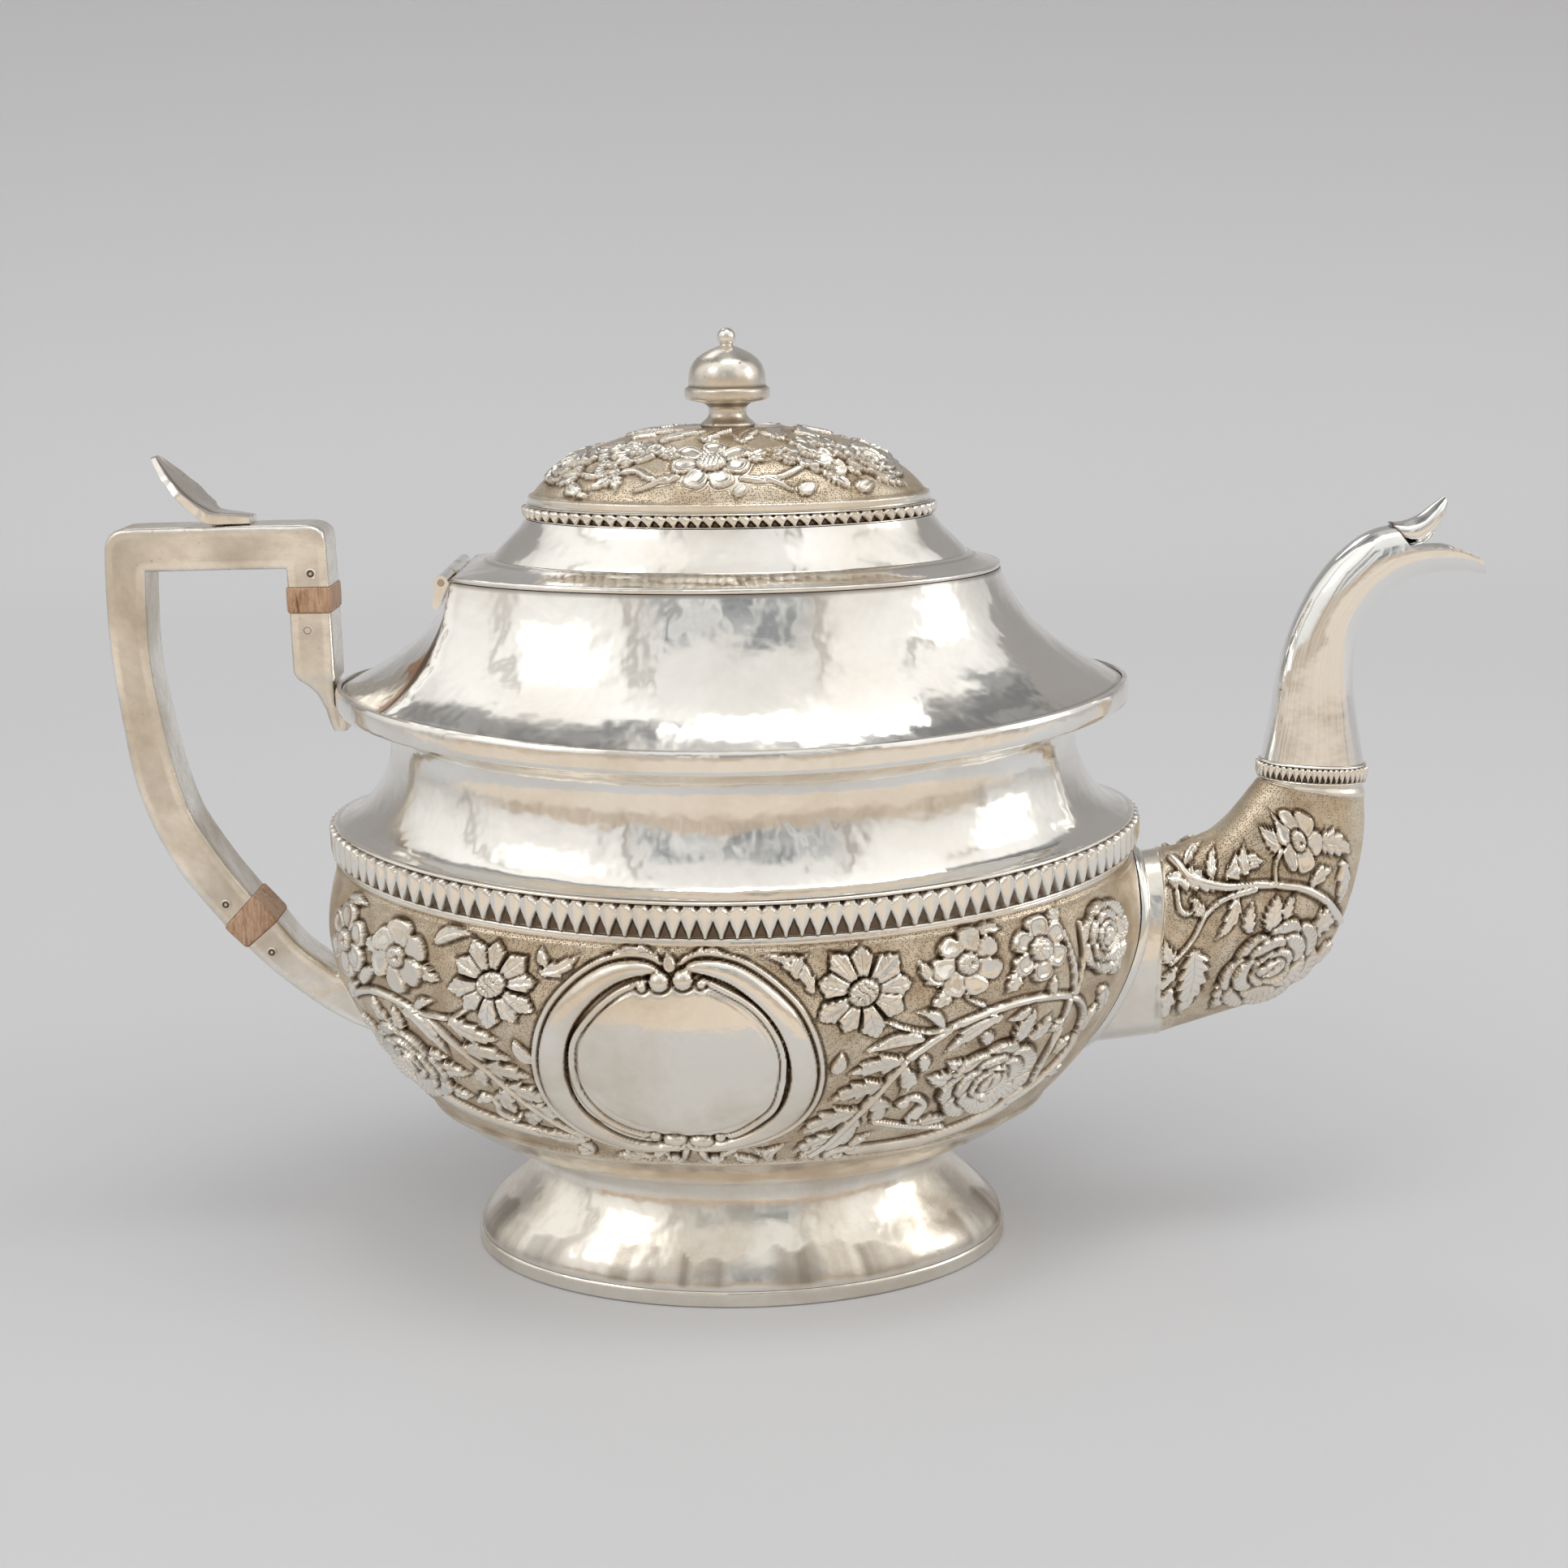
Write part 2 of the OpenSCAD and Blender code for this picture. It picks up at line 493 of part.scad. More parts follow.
module spout_root_collar() color(silver) {
    a = root_a + 0.9; b = root_b + 0.9;
    outer = [root_ring(a + 0.5, b + 0.5, 0.15), lift(root_ring(a + 0.5, b + 0.5, 0.15), 0.8),
        lift(root_ring(a, b, 0.15), 1.5)];
    inner = [root_ring(root_a + 0.1, root_b + 0.1, 0.15),
        lift(root_ring(root_a + 0.45, root_b + 0.2, 0.15), 1.5)];
    tyre(concat(outer, flip(inner)));
}

module spout_lower() color(silver) {
    n = len(lower_p) - 1;
    outer = concat([root_ring(root_a, root_b, 0.15)], [for (k = [0:n])
        section(lower_p[k], lower_q[k], lower_b((k + 1) / (n + 1)))]);
    inner = concat([root_ring(root_a, root_b, 0.15, spout_wall)], [for (k = [0:n])
        section(lower_p[k], lower_q[k], lower_b((k + 1) / (n + 1)), spout_wall)]);
    tyre(concat(outer, flip(inner)));
}

// bead collar between the chased and the plain spout
module spout_bead_collar() {
    p0 = [cx + collar_a, cz - 2.55]; q0 = [cx - collar_a, cz - 1.55];
    p1 = [cx + collar_a, cz + 1.35]; q1 = [cx - collar_a, cz + 2.35];
    function mid(u, o) = section(mix(p0, p1, u) + [o, 0], mix(q0, q1, u) - [o, 0], spout_b + o);
    color(silver) tyre([mid(0, 0.1), mid(0.12, collar_out * 0.75),
        mid(0.32, collar_out), mid(0.5, collar_out * 1.15),
        mid(0.68, collar_out), mid(0.88, collar_out * 0.75), mid(1, 0.1),
        mid(1, -spout_wall), mid(0, -spout_wall)]);
}

upper_p = [[cx + collar_a, cz + 1.4], [cx + 8.6, 103.5], [cx + 7.3, 110.5], [cx + 6.9, 116.8],
    [cx + 7.4, 121.6], [cx + 9, 125.6], [cx + 12, 129.2], [cx + 15.8, 132], [cx + 20.3, 133.5],
    [cx + 26, lip_z + 0.6], [lip_x, lip_z]];
upper_q = [[cx - collar_a, cz + 2.4], [cx - 8.8, 105], [cx - 7.9, 112.7], [cx - 6.7, 119.6],
    [cx - 4.4, 126.2], [cx - 1.3, 132.3], [cx + 3, 137.6], [cx + 9, 141.9], [cx + 16.5, 143.2],
    [cx + 23.5, 142.5], [lip_x - 3.5, lip_z + 7.5]];
function upper_b(k) = lookup(k, [[0, spout_b], [2, 5.2], [4, 4.8], [7, 5.1], [9, 4.4], [10, 2.6]]);

module spout_upper() color(silver) difference() {
    n = len(upper_p) - 1;
    tyre(concat([for (k = [0:n]) section(upper_p[k], upper_q[k], upper_b(k))],
        [for (k = [n:-1:0]) section(upper_p[k], upper_q[k], upper_b(k), spout_wall * (k > 8 ? 0.9 : 1))]));
    // open mouth and cut back lip
    rotate([90, 0, 0]) linear_extrude(20, center = true) polygon([[cx + 12.1, 150], [cx + 12.1, 143.7],
        [cx + 15.9, 138.6], [cx + 24, 138.8], [cx + 28.7, 137.2], [lip_x - 0.5, lip_z + 2],
        [lip_x + 8, lip_z - 1], [lip_x + 8, 150]]);
}

// curled leaf over the mouth of the spout
module spout_tip_leaf() color(silver) {
    line = [[cx + 12.3, 143.5, 2.6], [cx + 15, 143.6, 3.2], [cx + 17.8, 144.7, 3],
        [cx + 20.4, 146.7, 2.3], [cx + 22.4, 148.2, 1.2]];
    low = [[cx + 16.2, 138.75], [cx + 18.9, 139.3], [cx + 20.9, 141.2], [cx + 22.4, 143.6], [cx + 23.2, 146.4]];
    solid_skin([for (k = [0:4]) let (t = [line[k].x, line[k].y], l = low[k], w = line[k].z,
        m = (t + l) / 2, d = (t - l) / 2)
        [for (j = [0:11]) let (f = 360 * j / 12) [m.x + d.x * cos(f), -w * sin(f), m.y + d.y * cos(f)]]]);
}

// ---------- handle ----------
// chamfered bar section between an inner and an outer point
function bar(o, i, t, e = bar_edge) = let (d = unit(o - i), c = min(e, norm(o - i) * 0.3)) [
    [o.x, -t / 2 + c, o.y], [o.x, t / 2 - c, o.y],
    [o.x - d.x * c, t / 2, o.y - d.y * c], [i.x + d.x * c, t / 2, i.y + d.y * c],
    [i.x, t / 2 - c, i.y], [i.x, -t / 2 + c, i.y],
    [i.x + d.x * c, -t / 2, i.y + d.y * c], [o.x - d.x * c, -t / 2, o.y - d.y * c]];
hr = handle_reach; ht = handle_top; hi = handle_reach - bar_w + 0.6;
// joints of the lower leg, outer and inner point
low_a = [[-hr + 17.6, 67.4], [-hr + 23.4, 73.5]];
low_b = [[-hr + 21.8, 62.9], [-hr + 27.9, 68.2]];
grip_side = [[[-hr + 14, 72.1], [-hr + 19.5, 78.9]], [[-hr + 10.1, 77.5], [-hr + 16.2, 84.1]],
    [[-hr + 6.9, 83.7], [-hr + 13.2, 89.4]], [[-hr + 4.4, 90], [-hr + 11.6, 94]],
    [[-hr + 2.4, 97.7], [-hr + 10.1, 100.4]], [[-hr + 0.9, 109.9], [-hr + 8.5, 110.5]],
    [[-hr, 122], [-hi, 121]], [[-hr, 131], [-hi + 0.2, 131]]];
grip_top = [[[-hr + 0.5, ht - 5], [-hi + 0.6, ht - 8.6]], [[-hr + 1.2, ht - 2.2], [-hi + 0.8, ht - 8.5]],
    [[-hr + 3.2, ht - 0.6], [-hi + 1, ht - 8.5]], [[-hr + 6.5, ht - 0.3], [-hi + 1.5, ht - 8.5]],
    [[-hr + 18, ht - 0.2], [-hr + 18, ht - 8.5]], [[-hr + 28, ht], [-hr + 28, ht - 8.4]],
    [[-upper_leg - bar_w + 0.6, ht], [-upper_leg - bar_w + 0.1, ht - 8.4]],
    [[-upper_leg - 3.4, ht], [-upper_leg - bar_w, ht - 8.5]],
    [[-upper_leg - 1.2, ht - 0.7], [-upper_leg - bar_w, ht - 8.7]],
    [[-upper_leg - 0.2, ht - 2.7], [-upper_leg - bar_w, ht - 9]],
    [[-upper_leg, upper_joint], [-upper_leg - bar_w, upper_joint]]];
tenon_w = 4.4; tenon_t = 6;
upper_mid = -upper_leg - bar_w / 2;
// angle of a lower joint plane against level
function tilt(j) = atan2(j[1].y - j[0].y, j[1].x - j[0].x);
// places children with +Z along the bar at a lower joint
module at_joint(j) translate([(j[0].x + j[1].x) / 2, 0, (j[0].y + j[1].y) / 2])
    rotate([0, -tilt(j), 0]) children();
pin_spots = [[upper_mid + 0.7, upper_joint + 2.5], [upper_mid - 0.6, upper_joint - insulator_l - 3.2],
    [-hr + 18.3, 71.4 + 0.6], [-hr + 26.6, 62.1]];
module pin_bore() for (p = pin_spots) translate([p.x, 0, p.y]) rotate([90, 0, 0])
    cylinder(r = pin_r + fit, h = bar_t + 4, center = true, $fn = 32);

module tenon_box(l, air = 0) translate([-tenon_w / 2 - air, -tenon_t / 2 - air, -1])
    cube([tenon_w + 2 * air, tenon_t + 2 * air, l + 1 + air]);

module grip() color(silver) difference() {
    solid_skin(flip([for (s = concat([low_a], grip_side, grip_top)) bar(s[0], s[1], bar_t)]));
    translate([upper_mid, 0, upper_joint]) tenon_box(tenon_l, tenon_air);
    at_joint(low_a) tenon_box(tenon_l, tenon_air);
    pin_bore();
}

module upper_insulator() color(bone) difference() {
    p = insulator_proud; z0 = upper_joint - insulator_l;
    union() {
        solid_skin([for (z = [z0 + fit, upper_joint - fit])
            bar([-upper_leg + p, z], [-upper_leg - bar_w - p, z], bar_t + 2 * p)]);
        translate([upper_mid, 0, upper_joint - fit]) tenon_box(tenon_l);
        translate([upper_mid, 0, z0 + fit]) mirror([0, 0, 1]) tenon_box(tenon_l);
    }
    pin_bore();
}

module lower_insulator() color(bone) difference() {
    p = insulator_proud; da = unit(low_a[1] - low_a[0]); db = unit(low_b[1] - low_b[0]);
    na = [da.y, -da.x] * fit; nb = [db.y, -db.x] * fit;
    union() {
        solid_skin([bar(low_a[0] - da * p + na, low_a[1] + da * p + na, bar_t + 2 * p),
            bar(low_b[0] - db * p - nb, low_b[1] + db * p - nb, bar_t + 2 * p)]);
        at_joint(low_a) tenon_box(tenon_l);
        at_joint(low_b) mirror([0, 0, 1]) tenon_box(tenon_l);
    }
    pin_bore();
}

module upper_socket() color(silver) difference() {
    t = strip_top; s = shoulder_h;
    z0 = upper_joint - insulator_l; x = -upper_leg; b = bar_w;
    rim = -(shoulder_r + 0.12 + shoulder_strip_t + 0.12);
    solid_skin(flip([bar([x, z0], [x - b, z0], bar_t), bar([x, t + 4.2], [x - b, t + 4.2], bar_t),
        bar([x, t + 2.2], [x - b, t + 2.2], bar_t - 0.3),
        bar([x, t + 0.6], [x - b + 1.1, t + 0.6], bar_t - 0.9),
        bar([rim, t + 0.15], [x - b + 2.1, t + 0.15], bar_t - 1.2, 0.7),
        bar([rim, s + 2.4], [x - b / 2, s + 2.4], bar_t - 2, 0.6),
        bar([rim, s - 0.25], [x - b / 3, s - 0.25], bar_t - 2.9, 0.5),
        bar([rim + 2, s - 0.35], [x - b / 3 + 0.1, s - 0.35], bar_t - 3, 0.5),
        bar([rim + 2, s - 3.4], [x - b / 4, s - 3.4], bar_t - 3.6, 0.5),
        bar([rim + 1.6, s - 5.6], [x - b / 6, s - 5.6], bar_t - 4.6, 0.5)]));
    translate([upper_mid, 0, z0]) mirror([0, 0, 1]) tenon_box(tenon_l, tenon_air);
    pin_bore();
}

socket_gap = 0.25;   // air between the lower socket and the bowl
function wallpt(z) = [-(bowl_r(z) + socket_gap), z];
module lower_socket() color(silver) difference() {
    end_top = 57; end_low = 44.8;
    solid_skin([for (s = [low_b, [[-hr + 26.6, 57.8], [-hr + 31.6, 63.3]],
        [[-hr + 31.1, 53.9], [-hr + 35.8, 59.6]],
        [[-hr + 35.6, 50.4], [-bowl_r(end_top) - 1.4, 57.5]],
        [[-hr + 40.4, 47.5], wallpt(end_top)],
        [[-hr + 43.4, 46], wallpt(53)], [wallpt(end_low), wallpt(47.8)]])
        bar(s[0], s[1], bar_t)]);
    at_joint(low_b) mirror([0, 0, 1]) tenon_box(tenon_l, tenon_air);
    pin_bore();
}

module handle_pins() color(dark) for (k = [0:3]) let (p = pin_spots[k])
    translate([p.x, 0, p.y]) rotate([90, 0, 0]) difference() {
        cylinder(r = pin_r, h = bar_t + (k == 1 ? -0.6 : 0.2), center = true, $fn = 32);
        if (k == 1) cylinder(r = pin_r * 0.5, h = bar_t + 4, center = true, $fn = 32);
    }

// leaf shaped rest for the thumb
module thumb_rest() {
    x = -hr; z = ht + 0.03; k = thumb_h / 12.5;
    // under side point, thickness, half width, hollow
    st = [[x + 27.8, z, 1.3, 3, 0], [x + 25, z, 1.7, 3.8, 0], [x + 20.4, z, 2.1, 5.2, 0.2],
        [x + 17.6, z + 1.6 * k, 1.7, 6.2, 0.7], [x + 14.8, z + 4 * k, 1.4, thumb_w, 1.2],
        [x + 12.4, z + 7 * k, 1.2, thumb_w * 0.86, 1.1], [x + 10.7, z + 10 * k, 1, thumb_w * 0.56, 0.6],
        [x + 9.6, z + 12.4 * k, 0.8, thumb_w * 0.2, 0.1]];
    function slope(i) = let (a = st[max(i - 1, 0)], b = st[min(i + 1, 7)]) unit([b.x - a.x, b.y - a.y]);
    color(silver) solid_skin([for (i = [7:-1:0])
        let (s = st[i], d = slope(i), n = i < 3 ? [0, 1] : [-d.y, d.x] * -1)
        [for (v = [[-1, 0.15, 1], [-0.55, 0, 0.3], [0, 0, 0], [0.55, 0, 0.3], [1, 0.15, 1],
            [1, 0.8, 1], [0.5, 1, 0.3], [0, 1, 0], [-0.5, 1, 0.3], [-1, 0.8, 1]])
            let (up = v.y * s[2] + v.z * s[4]) [s.x + n.x * up, v.x * s[3], s.y + n.y * up]]]);
}

// ---------- hinge ----------
module barrel(y0, y1) translate([axis_x, y1, axis_z]) rotate([90, 0, 0])
    cylinder(r = barrel_r, h = y1 - y0, $fn = 48);
module barrel_bore() translate([axis_x, 0, axis_z]) rotate([90, 0, 0])
    cylinder(r = hinge_pin_r + pin_air, h = 3 * hinge_edge, center = true, $fn = 48);

module hinge_body_knuckles() color(silver) difference() {
    y0 = lid_knuckle + knuckle_gap; y1 = hinge_edge - 0.2; low = mouth_h - 5.2;
    for (m = [0, 1]) mirror([0, m, 0]) union() {
        barrel(y0, y1);
        translate([0, y1, 0]) rotate([90, 0, 0]) linear_extrude(y1 - y0) polygon(concat(
            [[axis_x + 0.3, axis_z], [axis_x - barrel_r + 0.05, axis_z - 0.2]],
            [[-(deck_r(low) + 0.9), low + 0.6], [-(deck_r(low) + 0.12), low]],
            [for (z = [low + 1:1:mouth_h - 0.3]) [-(deck_r(z) + 0.12), z]],
            [[-(mouth_r + 0.12), mouth_h - 0.1], [-(mouth_r + 0.12), axis_z + 0.05]]));
    }
    barrel_bore();
}

module hinge_pin() color(dark) translate([axis_x, 0, axis_z]) rotate([90, 0, 0])
    cylinder(r = hinge_pin_r, h = 2 * hinge_edge - 0.4, center = true, $fn = 48);

flange_chord = -mouth_r + 0.55;   // straight hinge side of the flange
module hinge_lid_knuckle() color(silver) difference() {
    union() {
        barrel(-lid_knuckle, lid_knuckle);
        translate([axis_x, -lid_knuckle, lid_z + 0.15])
            cube([flange_chord - axis_x, 2 * lid_knuckle, lid_wall - 0.15]);
    }
    barrel_bore();
}

// ---------- lid ----------
function flange_edge(z, i = 0) =
    [for (v = deck_ring(mouth_r, mouth_h, 1, i)) [max(v.x, flange_chord + i), v.y, z]];
function lid_oval(r, z, ry, n = seg) = [for (k = [0:n - 1]) let (t = 360 * k / n) [r * cos(t), ry * sin(t), z]];
base_ry = lid_base_r * mix(plan_ratio, lid_ratio, 0.8);
top_ry = lid_top_r * lid_ratio;

module lid_flange() color(silver) tyre([flange_edge(lid_z), flange_edge(lid_z + lid_wall),
    lid_oval(lid_base_r + 1.5, wall_z + lid_wall - 0.5, base_ry + 1.5),
    lid_oval(lid_base_r, wall_z + lid_wall, base_ry),
    lid_oval(lid_base_r - 1.2, wall_z + lid_wall, base_ry - 1.2),
    lid_oval(lid_base_r - 1.2, wall_z, base_ry - 1.2),
    lid_oval(lid_base_r + 0.6, wall_z - 0.4, base_ry + 0.6)]);

module lid_wall_ring() {
    z0 = wall_z + lid_wall + 0.02; z1 = ring_z + lid_wall;
    c = curve([[0, z0], [0.3, z0 + 2.6], [0.72, z0 + 4.2], [1, z1]], 4);
    function ring_at(v, i) = lid_oval(mix(lid_base_r - 0.1, lid_top_r, v.x) - i, v.y,
        mix(base_ry - 0.1, top_ry, v.x) - i);
    color(silver) tyre(concat([for (v = c) ring_at(v, 0)], [for (k = down(len(c))) ring_at(c[k], lid_wall)]));
}

// small ring of slanted beads
module lid_bead_ring() {
    z0 = ring_z + lid_wall + 0.02; n = lid_beads; z1 = z0 + lid_bead_h - 0.04;
    r0 = lid_top_r - 1.6; y0 = top_ry - 1.6; o = 1.5; m = 4;
    function at(phi, d, z) = let (t = even(phi, y0 / r0)) [(r0 + d) * cos(t), (y0 + d) * sin(t), z];
    pts = concat([for (i = [0:n - 1]) each [for (v = [[0, z0], [o, z0], [o - 0.3, z1], [0, z1]])
        at(360 * i / n, v.x, v.y)]], [for (i = [0:n - 1]) at(360 * (i + 0.5) / n, o + 0.8, (z0 + z1) / 2)]);
    faces = [for (i = [0:n - 1]) let (j = (i + 1) % n) each
        [for (k = [0:m - 1]) let (a = i * m + k, b = j * m + k, c = j * m + (k + 1) % m,
            d = i * m + (k + 1) % m, e = n * m + i) each
            k == 1 ? [[a, d, e], [d, c, e], [c, b, e], [b, a, e]] : [[a, d, c], [a, c, b]]]];
    color(silver) polyhedron(pts, faces, convexity = 8);
}

dome_r = lid_top_r - 0.5;
// oval of the dome: the side wall is i further in
function dome_ring(v, i) = lid_oval(v.x - i, v.y, v.x * (top_ry - 0.5) / dome_r - i);
dome_foot = dome_z + lid_wall;
dome_curve = curve([[dome_r, dome_foot], [dome_r - 4.6, dome_foot + dome_rise * 0.67],
    [finial_seat + 8, dome_foot + dome_rise], [finial_seat, dome_foot + dome_rise]], 8);
function dome_out(z) = lookup(z, [for (v = dome_curve) [v.y, v.x]]);
module dome_chasing() for (f = [[0, 0.52, 5.2, 7, cupped],
    [47.5, 0.6, 4.6, 6, cupped], [-47.5, 0.6, 4.6, 6, cupped]])
    flower(f[0], dome_foot + f[1] * dome_rise, f[2], f[3], f[4], true);
module lid_dome() color(silver) difference() {
    z0 = dome_foot; c = dome_curve;
    in = beside(c, dome_wall);
    union() {
        solid_skin(concat([for (k = [8:-2:2]) dome_ring([c[k].x, in[k].y], c[k].x - in[k].x)],
            [dome_ring(c[0], dome_wall)], [for (v = c) dome_ring(v, 0)]));
        dome_chasing();
        mirror([0, 1, 0]) dome_chasing();
        for (m = [-1, 1]) flower(m * 90, dome_foot + 0.55 * dome_rise, 4.8, 7, rose, true);
    }
    translate([0, 0, z0]) cylinder(r = finial_stud_r + fit, h = 2 * dome_rise, $fn = 32);
}

module lid_bezel() color(silver) translate([0, 0, lid_z - bezel_h]) linear_extrude(bezel_h - 0.02)
    difference() {
        polygon(mouth_line(collar_in + bezel_gap));
        polygon(mouth_line(collar_in + bezel_gap + lid_wall));
    }

module finial() color(silver) {
    z = dome_top + lid_wall + 0.02; top = z + finial_h; db = finial_bell_r / 7.2; dd = finial_disc_r;
    zd = z + 5.2; zb = zd + 2.4; bell = top - 2 * finial_ball_r + 0.2; hb = bell - zb;
    rotate_extrude() polygon(concat([[0, z], [4.9, z], [4.7, z + 0.8]],
        curve([[4.7, z + 0.8], [3.7, z + 1.6], [3.4, z + 2.4], [3.6, z + 3.6]], 5),
        [[5, zd - 0.7], [dd - 0.5, zd - 0.2], [dd, zd + 0.4], [dd, zd + 1.9], [dd - 0.5, zb - 0.2]],
        curve([[finial_bell_r, zb], [7.6 * db, zb + 0.6 * hb], [5.4 * db, zb + 0.8 * hb], [1.3, bell]], 10),
        [for (a = [-50:20:90]) [finial_ball_r * cos(a), top - finial_ball_r + finial_ball_r * sin(a)]]));
    translate([0, 0, z - dome_wall - 4]) cylinder(r = finial_stud_r, h = dome_wall + 4.5, $fn = 32);
}

module finial_nut() color(dark) translate([0, 0, dome_top + lid_wall - dome_wall - 0.85]) difference() {
    union() { cylinder(r = 5, h = 0.8); translate([0, 0, -1.2]) cylinder(r = 3.4, h = 2, $fn = 6); }
    translate([0, 0, -3]) cylinder(r = finial_stud_r + fit, h = 9, $fn = 32);
}

// the middle of the whole length comes to the origin
module place() translate([(handle_reach - lip_x) / 2, 0, 0]) children();

place() foot_strip();
place() foot();
place() bowl();
place() bead_band();
place() neck();
place() shoulder_strip();
place() deck();
place() mouth_collar();
place() spout_root_collar();
place() spout_lower();
place() spout_bead_collar();
place() spout_upper();
place() spout_tip_leaf();
place() upper_socket();
place() upper_insulator();
place() grip();
place() lower_insulator();
place() lower_socket();
place() handle_pins();
place() thumb_rest();
place() hinge_body_knuckles();
place() hinge_pin();
place() hinge_lid_knuckle();
place() lid_flange();
place() lid_wall_ring();
place() lid_bead_ring();
place() lid_dome();
place() lid_bezel();
place() finial();
place() finial_nut();
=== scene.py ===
import math
import bpy
import numpy as np
from mathutils import Matrix, Vector


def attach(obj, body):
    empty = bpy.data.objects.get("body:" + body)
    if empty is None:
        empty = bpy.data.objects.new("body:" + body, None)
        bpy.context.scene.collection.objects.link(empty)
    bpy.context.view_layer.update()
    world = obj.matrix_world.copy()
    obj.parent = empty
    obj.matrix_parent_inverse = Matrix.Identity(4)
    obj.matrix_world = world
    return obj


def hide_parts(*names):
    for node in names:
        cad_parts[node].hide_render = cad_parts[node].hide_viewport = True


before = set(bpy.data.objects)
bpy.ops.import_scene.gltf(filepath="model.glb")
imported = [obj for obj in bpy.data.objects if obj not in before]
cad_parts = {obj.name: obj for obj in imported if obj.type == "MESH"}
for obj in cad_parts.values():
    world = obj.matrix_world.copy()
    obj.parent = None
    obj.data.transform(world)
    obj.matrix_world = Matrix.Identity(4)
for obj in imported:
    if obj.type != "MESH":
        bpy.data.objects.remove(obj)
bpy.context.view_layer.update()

PI = math.pi
SHIFT_X = -13.0     # the pot is drawn round the middle of its foot, in mm, then moved
OVAL_RATIO = 0.66   # width of a body oval as a share of its length


# ---------------------------------------------------------------- numbers
def bezier(p, n):
    u = np.linspace(0, 1, n)[:, None]
    p = np.array(p, float)
    v = 1 - u
    return p[0] * v ** 3 + p[1] * 3 * v * v * u + p[2] * 3 * v * u * u + p[3] * u ** 3


def smooth(x):
    x = np.clip(x, 0, 1)
    return x * x * (3 - 2 * x)


def mix(a, b, u):
    return a + (b - a) * u


def catmull(rows, places):
    """the smooth curve through rows, at places that count from 0 at the first row"""
    p = np.vstack([2 * rows[0] - rows[1], rows, 2 * rows[-1] - rows[-2]])
    i = np.minimum(places.astype(int), len(rows) - 2)
    u = (places - i)[:, None]
    a, b, c, d = p[i], p[i + 1], p[i + 2], p[i + 3]
    bend, twist = 2 * a - 5 * b + 4 * c - d, 3 * b - a - 3 * c + d
    return .5 * (2 * b + (c - a) * u + bend * u ** 2 + twist * u ** 3)


def run(p):
    """length along a line of places, from 0 at the first"""
    return np.r_[0, np.cumsum(np.linalg.norm(np.diff(p, axis=0), axis=1))]


def resample(p, n):
    """n places at even steps along the line p"""
    t = run(p)
    steps = np.linspace(0, t[-1], n)
    return np.stack([np.interp(steps, t, p[:, k]) for k in range(p.shape[1])], 1)


def spline(rows, n):
    """even smooth run of n places through the given rows"""
    rows = np.array(rows, float)
    fine = catmull(rows, np.arange((len(rows) - 1) * 24) / 24)
    return resample(np.vstack([fine, rows[-1:]]), n)


def unit(v):
    return v / np.linalg.norm(v, axis=-1, keepdims=True)


def noise1(x, seed):
    """six sines of rising pitch and falling strength"""
    rng = np.random.RandomState(seed)
    y = np.zeros_like(x)
    for k in range(1, 7):
        y += np.sin(x * k * .9 * rng.uniform(.7, 1.3) + rng.uniform(0, 6.3)) / k
    return y


# ---------------------------------------------------------------- meshes
def quads_of(k, n, start=0, closed=False):
    """four sided faces between k rings of n places"""
    i = np.arange(n)
    j = np.arange(k if closed else k - 1)[:, None]
    a, b = start + j * n, start + (j + 1) % k * n
    return np.stack([a + i, a + (i + 1) % n, b + (i + 1) % n, b + i], -1).reshape(-1, 4)


def fan(start, n, tip, turned=False):
    """triangles from a ring of n places to the place tip"""
    i = np.arange(n)
    a, b = start + i, start + (i + 1) % n
    return np.stack([a, b, np.full(n, tip)] if turned else [b, a, np.full(n, tip)], 1)


def volume(co, faces):
    a, b, c = (co[faces[:, k]] for k in range(3))
    return np.einsum("ij,ij->i", a, np.cross(b, c)).sum()


def make(name, co, quads, tris=None, sharp=38, attrs=None):
    """a smooth mesh, its faces outwards, from places in mm round the middle of the foot"""
    co = np.array(co, float).reshape(-1, 3)
    tris = np.zeros((0, 3), int) if tris is None else np.array(tris, int)
    if volume(co, quads[:, [0, 1, 2]]) + volume(co, quads[:, [0, 2, 3]]) + volume(co, tris) < 0:
        quads, tris = quads[:, ::-1], tris[:, ::-1]
    me = bpy.data.meshes.new(name)
    me.vertices.add(len(co))
    me.vertices.foreach_set("co", ((co + [SHIFT_X, 0, 0]) * .001).ravel())
    loops = np.r_[quads.ravel(), tris.ravel()].astype(np.int32)
    me.loops.add(len(loops))
    me.loops.foreach_set("vertex_index", loops)
    me.polygons.add(len(quads) + len(tris))
    first = np.r_[np.arange(len(quads)) * 4, len(quads) * 4 + np.arange(len(tris)) * 3].astype(np.int32)
    me.polygons.foreach_set("loop_start", first)
    me.update(calc_edges=True)
    me.validate()
    me.polygons.foreach_set("use_smooth", np.ones(len(me.polygons), bool))
    if sharp:
        me.set_sharp_from_angle(angle=math.radians(sharp))
    for k, v in (attrs or {}).items():
        me.attributes.new(k, "FLOAT", "POINT").data.foreach_set("value", np.asarray(v, np.float32).ravel())
    ob = bpy.data.objects.new(name, me)
    bpy.context.scene.collection.objects.link(ob)
    return ob


